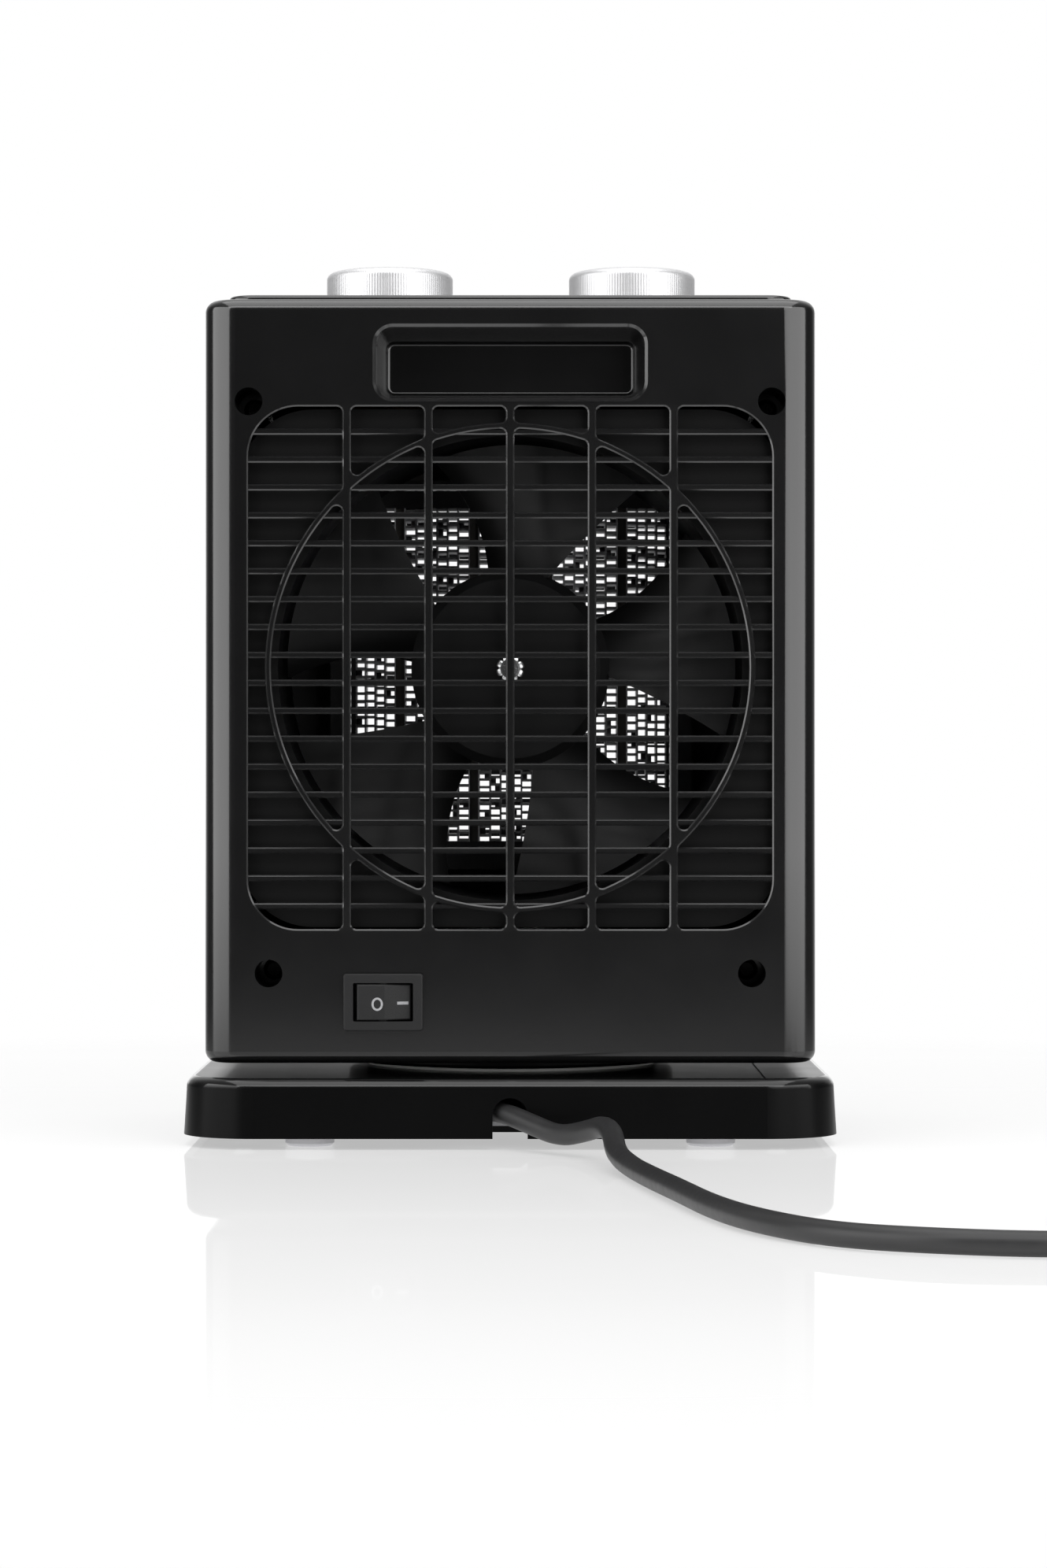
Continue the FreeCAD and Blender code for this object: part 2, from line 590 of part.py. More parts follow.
def rear_shell(skin):
    region = box("rear_region", ("-body_width", "shell_split + seam", "0"),
                 ("2 * body_width", "body_depth", "2 * body_top"))
    half = common("rear_half", skin, region)
    face = "body_depth / 2"
    tub = rounded_pad("grip_tub", "grip_width + 2 * grip_wall", "grip_height + 2 * grip_wall",
                      "grip_corner + grip_wall", "grip_depth + grip_wall - 0.5",
                      ("0", f"{face} - 0.5", "grip_level"), TO_FRONT, draft="-grip_draft")
    hollow = rounded_pad("grip_hollow", "grip_width", "grip_height", "grip_corner", "grip_depth",
                         ("0", face, "grip_level"), TO_FRONT, draft="-grip_draft")
    deepest = value("grip_depth")
    soften(hollow, "grip_floor_round", lambda edge: edge.ZMin > deepest - 0.01)
    rim = rounded_pad("grip_rim", "grip_width + 2 * grip_bevel", "grip_height + 2 * grip_bevel",
                      "grip_corner + grip_bevel", "grip_bevel", ("0", face, "grip_level"), TO_FRONT,
                      draft="-45")
    window = grille_blank("window_hole", "6", ("0", f"{face} - wall", "centre_level"))
    tubes = [
        cylinder(f"well_tube_{i}", "well_radius + well_wall", "well_depth - 0.5",
                 (x, f"{face} - well_depth", z), TO_REAR)
        for i, (x, z) in enumerate(WELLS)
    ]
    wells = [
        cylinder(f"well_{i}", "well_radius", "well_depth",
                 (x, f"{face} - well_depth + well_floor", z), TO_REAR)
        for i, (x, z) in enumerate(WELLS)
    ]
    holes = [
        cylinder(f"well_hole_{i}", "screw_radius + 0.2", "8", (x, f"{face} - well_depth - 2", z), TO_REAR)
        for i, (x, z) in enumerate(WELLS)
    ]
    disc_screw_holes = [
        cylinder(f"rear_floor_hole_{i}", "screw_radius + 0.2", "6", (x, y, "body_bottom - 1"))
        for i, (x, y) in enumerate(DISC_SCREWS)
    ]
    switch_hole = box("switch_hole",
                      ("switch_across - switch_width / 2", f"{face} - 6", "switch_level - switch_height / 2"),
                      ("switch_width", "12", "switch_height"))
    solid = fuse("rear_solid", half, tub, *tubes)
    return cut("rear_shell", solid, hollow, rim, window, switch_hole, panel_opening("rear_panel_opening"),
               *wells, *holes, *disc_screw_holes)


def rear_screws():
    return group("rear_screws", *[
        screw(f"rear_screw_{i}", (x, "body_depth / 2 - well_depth + well_floor", z), "18", TO_FRONT)
        for i, (x, z) in enumerate(WELLS)
    ])


# ---------------------------------------------------------------- intake grille
def grille_blank(name, length, at):
    return rounded_pad(name, "window_width + 2 * grille_border", "window_height + 2 * grille_border",
                       "window_corner + grille_border", length, at, TO_REAR)


def flat_rounded(width, height, radius):
    """A rounded rectangle as a face in the XY plane."""
    straight = Part.makePlane(width - 2 * radius, height - 2 * radius,
                              FreeCAD.Vector(radius - width / 2, radius - height / 2))
    return straight.makeOffset2D(radius, 0)


def grille_cells():
    """The openings between the uprights and the ring, as solids with chamfered mouths."""
    plane = flat_rounded(value("window_width"), value("window_height"), value("window_corner"))
    pitch, width = value("upright_pitch"), value("upright_width")
    tall = value("window_height")
    for step in range(-2, 3):
        upright = Part.makePlane(width, tall, FreeCAD.Vector(step * pitch - width / 2, -tall / 2))
        plane = plane.cut(upright)
    outer = Part.Face(Part.Wire(Part.makeCircle(value("ring_radius"))))
    inner = Part.Face(Part.Wire(Part.makeCircle(value("ring_radius - ring_width"))))
    plane = plane.cut(outer.cut(inner))
    corner, chamfer = value("cell_corner"), value("cell_chamfer")
    cells = []
    for face in plane.Faces:
        if face.Area < 12:
            continue
        smooth = face.makeOffset2D(-corner, 0).makeOffset2D(corner, 0)
        mouth = smooth.makeOffset2D(chamfer, 0)
        lower = smooth.OuterWire.copy()
        lower.translate(FreeCAD.Vector(0, 0, -chamfer))
        shaft = smooth.copy()
        shaft.translate(FreeCAD.Vector(0, 0, -chamfer))
        cells.append(shaft.extrude(FreeCAD.Vector(0, 0, -2 * value("wall"))))
        cells.append(Part.makeLoft([mouth.OuterWire, lower], True, True))
    return Part.makeCompound(cells)


def grille_bars():
    """Level bars with chamfered edges, set a little behind the uprights."""
    half, chamfer = value("bar_height") / 2, value("cell_chamfer")
    face, back = -value("bar_recess"), -value("bar_recess + bar_depth")
    long = value("window_width + grille_border")
    first = value("window_height / 2 - first_bar")
    bars = []
    for step in range(18):
        level = first - step * value("bar_pitch")
        outline = [(level - half, back), (level + half, back), (level + half, face - chamfer),
                   (level + half - chamfer, face), (level - half + chamfer, face),
                   (level - half, face - chamfer)]
        corners = [FreeCAD.Vector(-long / 2, along, depth) for along, depth in outline]
        section = Part.Face(Part.makePolygon(corners + corners[:1]))
        bars.append(section.extrude(FreeCAD.Vector(long, 0, 0)))
    return Part.makeCompound(bars)


def intake_grille():
    face = "body_depth / 2"
    blank = grille_blank("grille_blank", "wall", ("0", f"{face} - wall", "centre_level"))
    openings = feature("grille_openings", grille_cells())
    bars = feature("grille_bars", grille_bars())
    lay_back = FreeCAD.Rotation(FreeCAD.Vector(1, 0, 0), -90)
    for item in (openings, bars):
        place(item, ("0", face, "centre_level"), lay_back)
    return fuse("intake_grille", cut("grille_frame", blank, openings), common("bars_inside", blank, bars))


# ---------------------------------------------------------------- outlet grille
def front_grille():
    face = "-body_depth / 2"
    ring = rounded_pad("outlet_ring", "outlet_width - 0.4", "outlet_height - 0.4", "outlet_corner - 0.2",
                       "slat_depth", ("0", f"{face} + slat_depth", "centre_level"), TO_FRONT)
    clear = rounded_pad("outlet_clear", "outlet_width - 6", "outlet_height - 6", "outlet_corner - 3",
                        "3 * slat_depth", ("0", f"{face} + 2 * slat_depth", "centre_level"), TO_FRONT)
    slats = [
        box(f"slat_{i}",
            ("-outlet_width / 2 + 2", face, f"centre_level + {i} * slat_pitch - slat_height / 2"),
            ("outlet_width - 4", "slat_depth", "slat_height"))
        for i in range(-6, 7)
    ]
    struts = [
        box(f"strut_{i}",
            (f"{side} * outlet_width / 4 - 1", f"{face} + 2", "centre_level - outlet_height / 2 + 2"),
            ("2", "slat_depth - 2", "outlet_height - 4"))
        for i, side in enumerate((-1, 0, 1))
    ]
    return fuse("front_grille", cut("outlet_frame", ring, clear), *slats, *struts)


# ---------------------------------------------------------------- top panel and controls
def control_panel():
    plate = rounded_pad("panel_plate", "panel_width", "panel_depth", "panel_corner", "panel_top - body_top",
                        ("0", "0", "body_top"))
    top = value("panel_top - body_top")
    soften(plate, "panel_edge", lambda edge: edge.ZMin > top - 0.01)
    skirt = rounded_pad("panel_skirt", "opening_width - 0.6", "opening_depth - 0.6", "2", "2 * wall",
                        ("0", "0", "body_top - 2 * wall"))
    room = rounded_pad("panel_room", "opening_width - 4", "opening_depth - 4", "1", "2 * wall",
                       ("0", "0", "body_top - 2 * wall"))
    holes = [
        cylinder(f"panel_hole_{i}", "5", "8", (f"{side} * knob_spacing / 2", "0", "body_top - 2"))
        for i, side in enumerate((-1, 1))
    ]
    return cut("control_panel", fuse("panel_solid", plate, cut("panel_rim", skirt, room)), *holes)


def knob(name, across):
    """A turned knob with a flat top, a bright chamfer and a bore for its spindle."""
    low = "panel_top + knob_gap"
    outline = [
        ("spindle_radius", f"{low} + 0.6"), ("knob_radius - 1", f"{low} + 0.6"), ("knob_radius - 1", low),
        ("knob_radius - 0.4", low), ("knob_radius", f"{low} + 0.6"), ("knob_radius", "knob_top - knob_edge"),
        ("knob_radius - knob_edge * 0.5", "knob_top - knob_edge * 0.3"),
        ("knob_radius - knob_edge * 1.4", "knob_top"),
        ("0", "knob_top"), ("0", f"{low} + 9"), ("spindle_radius", f"{low} + 9"),
    ]
    return turned(name, outline, (across, "0", "0"))


def spindle(name, across):
    return cylinder(name, "spindle_radius", "knob_gap + 18.5", (across, "0", "panel_top - 10"))


def thermostat():
    across = "-knob_spacing / 2"
    block = rounded_pad("thermostat_block", "26", "22", "2", "15", (across, "0", "body_top - 24"))
    plate = rounded_pad("thermostat_plate", "38", "14", "3", "1.6", (across, "0", "body_top - 9"))
    bush = cylinder("thermostat_bush", "4.6", "6", (across, "0", "body_top - 7.5"))
    arm = box("thermostat_arm", (f"{across} - 20", "-3", "body_top - 20"), ("40", "6", "0.8"))
    bore = cylinder("thermostat_bore", "spindle_radius + 0.1", "20", (across, "0", "panel_top - 10"))
    return cut("thermostat", fuse("thermostat_solid", block, plate, bush, arm), bore)


def mode_switch():
    across = "knob_spacing / 2"
    block = rounded_pad("mode_block", "30", "26", "3", "17", (across, "0", "body_top - 26"))
    plate = rounded_pad("mode_plate", "38", "14", "3", "1.6", (across, "0", "body_top - 9"))
    bush = cylinder("mode_bush", "4.6", "6", (across, "0", "body_top - 7.5"))
    tabs = [
        box(f"mode_tab_{i}", (f"{across} + {offset}", "-3", "body_top - 33"), ("0.8", "6", "8"))
        for i, offset in enumerate((-11, -4, 4, 11))
    ]
    bore = cylinder("mode_bore", "spindle_radius + 0.1", "20", (across, "0", "panel_top - 10"))
    return cut("mode_switch", fuse("mode_solid", block, plate, bush, *tabs), bore)


# ---------------------------------------------------------------- rocker switch
def rocker_housing():
    face = "body_depth / 2"
    at = ("switch_across", face, "switch_level")
    bezel = rounded_pad("bezel", "bezel_width", "bezel_height", "0.8", "bezel_thickness", at, TO_REAR)
    thickness = value("bezel_thickness")
    soften(bezel, "0.4", lambda edge: edge.ZMin > thickness - 0.01)
    can = rounded_pad("switch_can", "switch_width - 0.2", "switch_height - 0.2", "0.6", "switch_depth",
                      ("switch_across", f"{face} - switch_depth", "switch_level"), TO_REAR)
    pocket = rounded_pad("rocker_pocket", "rocker_window_width", "rocker_window_height", "0.4", "20",
                         ("switch_across", f"{face} - 9", "switch_level"), TO_REAR)
    tabs = [
        box(f"switch_tab_{i}",
            (f"switch_across + {offset} - 2.4", f"{face} - switch_depth - 7", "switch_level - 0.4"),
            ("4.8", "8", "0.8"))
        for i, offset in enumerate((-6, 6))
    ]
    bearing = cylinder("rocker_bearing", "rocker_pin_radius + 0.05", "rocker_pin_length + 0.4",
                       ("switch_across", f"{face} - 0.6", "switch_level - rocker_pin_length / 2 - 0.2"))
    return cut("rocker_housing", fuse("switch_solid", bezel, can, *tabs), pocket, bearing)


def rocker_button():
    """A V-faced rocker about an upright axis, resting with its O side pressed in."""
    swing = value("rocker_swing")
    half, tall = value("rocker_width") / 2, value("rocker_height")
    reach = half * math.cos(math.radians(swing))
    lift = half * math.sin(math.radians(swing))
    crest, deep = 3.0, -5.0
    outline = [(-half + 1, deep), (half - 1, deep), (reach, crest - lift), (0, crest - lift * 0.35),
               (-reach, crest - lift)]
    corners = [FreeCAD.Vector(x, y, -tall / 2) for x, y in outline]
    section = Part.Face(Part.makePolygon(corners + corners[:1]))
    solid = section.extrude(FreeCAD.Vector(0, 0, tall))
    edges = [edge for edge in solid.Edges if edge.BoundBox.YMin > 0]
    cap = feature("rocker_cap", solid.makeFillet(0.5, edges))
    turn = FreeCAD.Rotation(FreeCAD.Vector(0, 0, 1), swing)
    place(cap, ("switch_across", "body_depth / 2 - 0.6", "switch_level"), turn)
    pin = cylinder("rocker_pin", "rocker_pin_radius", "rocker_pin_length",
                   ("switch_across", "body_depth / 2 - 0.6", "switch_level - rocker_pin_length / 2"))
    return fuse("rocker_button", cap, pin)


# ---------------------------------------------------------------- fan
BLADE_ANGLES = [84.5 + 72 * step for step in range(5)]


def fan_duct():
    plate = rounded_pad("duct_mouth", "duct_plate_width", "duct_plate_height", "duct_plate_corner",
                        "duct_wall", ("0", "duct_rear - duct_wall", "centre_level"), TO_REAR)
    ring = cylinder("duct_ring", "duct_radius + duct_wall", "duct_rear - duct_front",
                    ("0", "duct_front", "centre_level"), TO_REAR)
    flange = rounded_pad("duct_flange", "tunnel_side", "tunnel_side", "6", "duct_wall",
                         ("0", "duct_front", "centre_level"), TO_REAR)
    bore = cylinder("duct_bore", "duct_radius", "duct_rear - duct_front + 20",
                    ("0", "duct_front - 10", "centre_level"), TO_REAR)
    return cut("fan_duct", fuse("duct_solid", plate, ring, flange), bore)


def outlet_duct():
    """A square tunnel from the fan's duct to the outlet, with a shoulder round the heating block."""
    tunnel = rounded_pad("tunnel_outer", "tunnel_side", "tunnel_side", "6", "duct_front - tunnel_front",
                         ("0", "tunnel_front", "centre_level"), TO_REAR)
    inner_side, shoulder_side = "tunnel_side - 2 * duct_wall", "tunnel_side - duct_wall"
    hollow = rounded_pad("tunnel_inner", inner_side, inner_side, "4", "80",
                         ("0", "tunnel_front - 10", "centre_level"), TO_REAR)
    shoulder = rounded_pad("shoulder_outer", shoulder_side, shoulder_side, "5", "duct_wall",
                           ("0", "block_front - 1", "centre_level"), TO_REAR)
    seat = rounded_pad("shoulder_inner", "heater_frame_width", "heater_frame_height", "4", "8",
                       ("0", "block_front - 4", "centre_level"), TO_REAR)
    return fuse("outlet_duct", cut("tunnel", tunnel, hollow), cut("shoulder", shoulder, seat))


def blade_section(radius, back, ahead, rise, thickness):
    """A slanted, slightly bowed strip in the plane at one radius, between two angles."""
    point = FreeCAD.Vector
    low = radius * math.tan(math.radians(back))
    high = radius * math.tan(math.radians(ahead))
    middle, bow = thickness / 2, (high - low) * 0.06
    near_a, near_b = point(radius, low, rise / 2), point(radius, high, -rise / 2)
    crest = point(radius, (low + high) / 2 + bow * 0.6, bow)
    shift = point(0, 0, thickness)
    upper = Part.Arc(near_a + shift * 0.5, crest + shift * 0.5, near_b + shift * 0.5).toShape()
    lower = Part.Arc(near_b - shift * 0.5, crest - shift * 0.5, near_a - shift * 0.5).toShape()
    ends = [
        Part.makeLine(near_b + point(0, 0, middle), near_b - point(0, 0, middle)),
        Part.makeLine(near_a - point(0, 0, middle), near_a + point(0, 0, middle)),
    ]
    return Part.Wire([upper, ends[0], lower, ends[1]])


def impeller():
    depth = "hub_rear - hub_front"
    outline = [
        ("shaft_radius", depth), ("hub_radius - 2.5", depth), ("hub_radius", f"{depth} - 2.5"),
        ("hub_radius", "0"), ("hub_radius - 2", "0"), ("hub_radius - 2", f"{depth} - 3"),
        ("6", f"{depth} - 3"), ("6", "4"), ("shaft_radius", "4"),
    ]
    hub = turned("fan_hub", outline, ("0", "hub_front", "centre_level"), TO_REAR)
    root, beyond_tip = value("hub_radius") - 1.2, value("blade_radius") + 1
    sections = [
        blade_section(root, -17, 18.5, 15, 2.0),
        blade_section(43, -26.5, 19.5, 15, 1.7),
        blade_section(beyond_tip, -33.5, 30, 14, 1.3),
    ]
    blade = Part.makeLoft(sections, True, False)
    tip = Part.makeCylinder(value("blade_radius"), 60, FreeCAD.Vector(0, 0, -30))
    bore = Part.makeCylinder(value("hub_radius") - 2, 60, FreeCAD.Vector(0, 0, -30))
    blade = blade.common(tip).cut(bore)
    blades = []
    for angle in BLADE_ANGLES:
        turned_blade = blade.copy()
        turned_blade.rotate(FreeCAD.Vector(), FreeCAD.Vector(0, 0, 1), 180 + angle)
        blades.append(turned_blade)
    fan = feature("fan_blades", Part.makeCompound(blades))
    place(fan, ("0", "(hub_front + hub_rear) / 2", "centre_level"), TO_REAR)
    return fuse("impeller", hub, fan)


def impeller_clip():
    """The star clip that holds the fan on its shaft, with a raised collar."""
    ring = tube("clip_ring", "3.8", "shaft_radius", "0.8", ("0", "hub_rear", "centre_level"), TO_REAR)
    collar = tube("clip_collar", "2.7", "shaft_radius", "1.6", ("0", "hub_rear", "centre_level"), TO_REAR)
    return fuse("impeller_clip", ring, collar)


def fan_motor():
    outline = [
        ("shaft_radius + 0.05", "0"), ("motor_radius - 3", "0"), ("motor_radius", "3"),
        ("motor_radius", "motor_rear - motor_front - 4"), ("motor_radius - 4", "motor_rear - motor_front"),
        ("shaft_radius + 0.05", "motor_rear - motor_front"),
    ]
    return turned("fan_motor", outline, ("0", "motor_front", "centre_level"), TO_REAR)


def motor_bracket():
    hub = cylinder("bracket_hub", "motor_radius", "2", ("0", "motor_front - 2", "centre_level"), TO_REAR)
    arms = []
    for i, angle in enumerate((BLADE_ANGLES[0], BLADE_ANGLES[2], BLADE_ANGLES[3])):
        arm = doc.addObject("Part::Box", f"bracket_arm_{i}")
        bind(arm, Length="duct_radius - 15.3", Width="2", Height="7")
        turn = FreeCAD.Rotation(FreeCAD.Vector(0, 1, 0), angle - 180)
        corner = turn.multVec(FreeCAD.Vector(15, 0, -3.5))
        arm.Placement = FreeCAD.Placement(
            corner + FreeCAD.Vector(0, value("motor_front - 2"), value("centre_level")), turn)
        arms.append(arm)
    hole = cylinder("bracket_bore", "5", "8", ("0", "motor_front - 5", "centre_level"), TO_REAR)
    return cut("motor_bracket", fuse("bracket_solid", hub, *arms), hole)


# ---------------------------------------------------------------- heating block
BAR_STEPS = (-1.5, -0.5, 0.5, 1.5)


def heater_frame():
    blank = rounded_pad("frame_blank", "heater_frame_width", "heater_frame_height", "4",
                        "block_rear - block_front + 1", ("0", "block_front - 1", "centre_level"), TO_REAR)
    opening = box("frame_opening", ("-block_width / 2", "block_front - 5", "centre_level - block_height / 2"),
                  ("block_width", "30", "block_height"))
    return cut("heater_frame", blank, opening)


def heating_bars():
    return group("heating_bars", *[
        box(f"heating_bar_{i}", (f"{step} * bar_spacing - heating_bar_width / 2", "block_front + 1",
                                 "centre_level - block_height / 2"),
            ("heating_bar_width", "block_rear - block_front - 2", "block_height"))
        for i, step in enumerate(BAR_STEPS)
    ])


def electrode_strips():
    strips = []
    for i, step in enumerate(BAR_STEPS):
        for side in (-1, 1):
            inner = f"{step} * bar_spacing + {side} * (heating_bar_width + electrode_width) / 2"
            strips.append(box(
                f"electrode_{i}_{side + 1}", (f"{inner} - electrode_width / 2", "block_front",
                                             "centre_level - block_height / 2"),
                ("electrode_width", "block_rear - block_front", "block_height")))
    return group("electrode_strips", *strips)


def fin_strip(left, right):
    """One folded fin, from the foot of the block to its top. Its folds touch both sides."""
    pitch, thick, tall = value("fin_pitch"), value("fin_thickness"), value("block_height")
    count = int(tall / pitch)
    rise = tall / count
    half = thick * (right - left) / pitch / 2
    folds = [(left + half if i % 2 else right - half, i * rise - tall / 2) for i in range(count + 1)]
    near = [FreeCAD.Vector(x - half, 0, z) for x, z in folds]
    far = [FreeCAD.Vector(x + half, 0, z) for x, z in reversed(folds)]
    section = Part.Face(Part.makePolygon(near + far + near[:1]))
    return section.extrude(FreeCAD.Vector(0, value("block_rear - block_front - 1"), 0))


def fin_packs():
    half_bar = value("heating_bar_width / 2 + electrode_width")
    edges = [-value("block_width") / 2 - half_bar]
    edges += [step * value("bar_spacing") for step in BAR_STEPS]
    edges += [value("block_width") / 2 + half_bar]
    strips = [fin_strip(left + half_bar, right - half_bar) for left, right in zip(edges, edges[1:])]
    item = feature("fin_packs", Part.makeCompound(strips))
    return place(item, ("0", "block_front + 0.5", "centre_level"))


def thermal_cutout():
    """A round safety cut-out on top of the heater's frame, with two flat terminals."""
    across, along, low = "30", "block_front + 9", "centre_level + heater_frame_height / 2"
    disc = cylinder("cutout_disc", "6.5", "2", (across, along, low))
    cap = cylinder("cutout_cap", "5.5", "4.5", (across, along, low))
    tabs = [
        box(f"cutout_tab_{i}", (f"{across} + {offset} - 3", f"{along} - 2", f"{low} + 4.5"),
            ("6", "4", "0.8"))
        for i, offset in enumerate((-6, 6))
    ]
    bridge = box("cutout_bridge", (f"{across} - 5", f"{along} - 2", f"{low} + 4"), ("10", "4", "0.9"))
    return fuse("thermal_cutout", disc, cap, bridge, *tabs)


def terminal_block():
    floor = "body_bottom + wall"
    block = box("terminal_body", ("-58", "26", floor), ("34", "18", "14"))
    rows = [f"-58 + 5.7 + {i} * 11.3" for i in range(3)]
    holes = [
        cylinder(f"terminal_hole_{i}", "2.2", "30", (across, "20", f"{floor} + 5"), TO_REAR)
        for i, across in enumerate(rows)
    ]
    wells = [
        cylinder(f"terminal_well_{i}", "2.4", "10", (across, "35", f"{floor} + 8"))
        for i, across in enumerate(rows)
    ]
    return cut("terminal_block", block, *holes, *wells)


# ---------------------------------------------------------------- mains lead
# The lead's middle, from inside the clamp to the coil: a list chosen by hand.
CORD_ROUTE = [
    (8.6, 57.5, 10.2), (2.2, 66.5, 10), (-5.8, 77, 7.4), (-13.2, 86.2, 5), (-19.8, 94.5, 7),
    (-24.4, 104, 9.4), (-26.6, 115.5, 8.4), (-27, 131, 4.5), (-30.5, 152, 3), (-35, 180, 2.9),
    (-40, 210, 3.1), (-46.5, 247, 2.85), (-55, 279, 3.1), (-69, 303, 2.85), (-89, 317, 3.1),
    (-113, 322, 2.85), (-138, 321, 3.1), (-161, 312.8, 2.85), (-180.3, 300.3, 2.9),
]
COIL_MIDDLE = (-163, 268)
TAIL_ROUTE = [(-199.4, 264, 8.4), (-200.2, 248, 8), (-200.6, 234, 7.2), (-200.4, 222, 7)]


def cord_path(route):
    """Straight runs joined by tangent arcs, each as large as its two runs allow."""
    points = [FreeCAD.Vector(*p) for p in route]
    edges, here, radii, length = [], points[0], [], 0.0
    for before, corner, after in zip(points, points[1:], points[2:]):
        back, ahead = (before - corner).normalize(), (after - corner).normalize()
        short = min(corner.distanceToPoint(before), corner.distanceToPoint(after))
        half_turn = (math.pi - back.getAngle(ahead)) / 2
        step = 0.45 * short
        radii.append(step / math.tan(half_turn))
        start, end = corner + back * step, corner + ahead * step
        bisector = (back + ahead).normalize()
        sag = radii[-1] * (1 / math.cos(half_turn) - 1)
        edges.append(Part.LineSegment(here, start).toShape())
        edges.append(Part.Arc(start, corner + bisector * sag, end).toShape())
        here = end
    edges.append(Part.LineSegment(here, points[-1]).toShape())
    return Part.Wire(edges), radii


def cord_tube(name, route):
    path, radii = cord_path(route)
    start, ahead = FreeCAD.Vector(*route[0]), FreeCAD.Vector(*route[1])
    ring = Part.Wire(Part.makeCircle(value("cord_radius"), start, ahead - start))
    solid = path.makePipeShell([ring], True, False, 2)
    section = math.pi * value("cord_radius") ** 2
    print(f"{name}: length {path.Length:.1f}, volume ratio {solid.Volume / (section * path.Length):.4f}")
    print("radii:", " ".join(f"{r:.0f}" for r in radii))
    return feature(name, solid)


def cord_coil():
    x, y = COIL_MIDDLE
    inner, outer = "coil_radius - coil_thickness / 2", "coil_radius + coil_thickness / 2"
    outline = [
        (inner, "cord_radius"), (f"{inner} + cord_radius", "0"), (f"{outer} - cord_radius", "0"),
        (outer, "cord_radius"), (outer, "coil_height - cord_radius"),
        (f"{outer} - cord_radius", "coil_height"), (f"{inner} + cord_radius", "coil_height"),
        (inner, "coil_height - cord_radius"),
    ]
    return turned("cord_coil", outline, (str(x), str(y), "0"))


PLUG_AT = ("-200.4", "190", "7")


def plug_body():
    """A slim two-pin plug lying flat: a waisted body, then a tapered strain relief."""
    x, y, z = PLUG_AT
    face = rounded_pad("plug_face", "34", "14", "6.9", "9", (x, f"{y} - 4", z), TO_FRONT)
    middle = rounded_pad("plug_middle", "34", "14", "6.9", "8", (x, f"{y} - 4", z), TO_REAR)
    back = rounded_pad("plug_back", "22", "13", "6.4", "15", (x, f"{y} - 4", z), TO_REAR)
    relief = cone("plug_relief", ("5.4", "cord_radius + 0.6"), "22", (x, f"{y} + 10", z), TO_REAR)
    return fuse("plug_body", face, middle, back, relief)


def plug_pins():
    x, y, z = PLUG_AT
    pins = [
        cylinder(f"plug_pin_{i}", "plug_pin_radius", "plug_pin_length",
                 (f"{x} + {side} * plug_pin_spacing / 2", f"{y} - 13", z), TO_FRONT)
        for i, side in enumerate((-1, 1))
    ]
    return group("plug_pins", *pins)


# ---------------------------------------------------------------- the whole heater
node("base_shell", base_shell())
node("base_bottom_plate", base_bottom_plate())
node("rubber_feet", rubber_feet())
node("base_screws", base_screws())
node("cord_clamp", cord_clamp())
node("clamp_screws", clamp_screws())
node("pivot_post", pivot_post())
node("post_screws", post_screws())
node("glide_ring", tube("glide_ring", "41", "31", "0.7", ("0", "0", "base_top")))
node("retaining_ring", tube("retaining_ring", "post_radius + 4", "post_radius", "1.6",
                            ("0", "0", "sleeve_top + 0.3")))
node("drive_arm", drive_arm())
node("turntable_disc", turntable_disc())
node("turntable_screws", turntable_screws())
node("crank_disc", crank_disc())
node("crank_shaft", cylinder("crank_shaft", "3", "motor_bottom - crank_bottom - 0.9",
                            ("0", "-crank_offset", "crank_bottom + 0.8")))
node("oscillation_motor", oscillation_motor())
node("oscillation_bracket", oscillation_bracket())
node("motor_screws", motor_screws())
skin = housing_skin()
node("front_shell", front_shell(skin))
node("rear_shell", rear_shell(skin))
node("rear_screws", rear_screws())
node("intake_grille", intake_grille())
node("front_grille", front_grille())
node("control_panel", control_panel())
node("thermostat_knob", knob("thermostat_knob", "-knob_spacing / 2"))
node("mode_knob", knob("mode_knob", "knob_spacing / 2"))
node("thermostat_spindle", spindle("thermostat_spindle", "-knob_spacing / 2"))
node("mode_spindle", spindle("mode_spindle", "knob_spacing / 2"))
node("thermostat", thermostat())
node("mode_switch", mode_switch())
node("rocker_housing", rocker_housing())
node("rocker_button", rocker_button())
node("fan_duct", fan_duct())
node("outlet_duct", outlet_duct())
node("impeller", impeller())
node("impeller_clip", impeller_clip())
node("motor_shaft", cylinder("motor_shaft", "shaft_radius", "hub_rear + 2.5 - motor_front - 2",
                            ("0", "motor_front + 2", "centre_level"), TO_REAR))
node("fan_motor", fan_motor())
node("motor_bracket", motor_bracket())
node("heater_frame", heater_frame())
node("heating_bars", heating_bars())
node("electrode_strips", electrode_strips())
node("fin_packs", fin_packs())
node("thermal_cutout", thermal_cutout())
node("terminal_block", terminal_block())
node("mains_cord", cord_tube("mains_cord", CORD_ROUTE))
node("cord_coil", cord_coil())
node("cord_tail", cord_tube("cord_tail", TAIL_ROUTE))
node("plug_body", plug_body())
node("plug_pins", plug_pins())

doc.recompute()
for item in doc.Objects:
    if "Invalid" in item.State or "Error" in item.State:
        raise RuntimeError(f"{item.Name} failed: {item.State}")
os.makedirs("parts", exist_ok=True)
for name, item in nodes.items():
    shape = item.Shape
    if shape.isNull() or not shape.isValid() or shape.Volume <= 0:
        raise RuntimeError(f"{name} has no valid solid")
    shape.exportStep(f"parts/{name}.step")
print(f"{len(nodes)} pieces written")
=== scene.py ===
import json
import math
import random

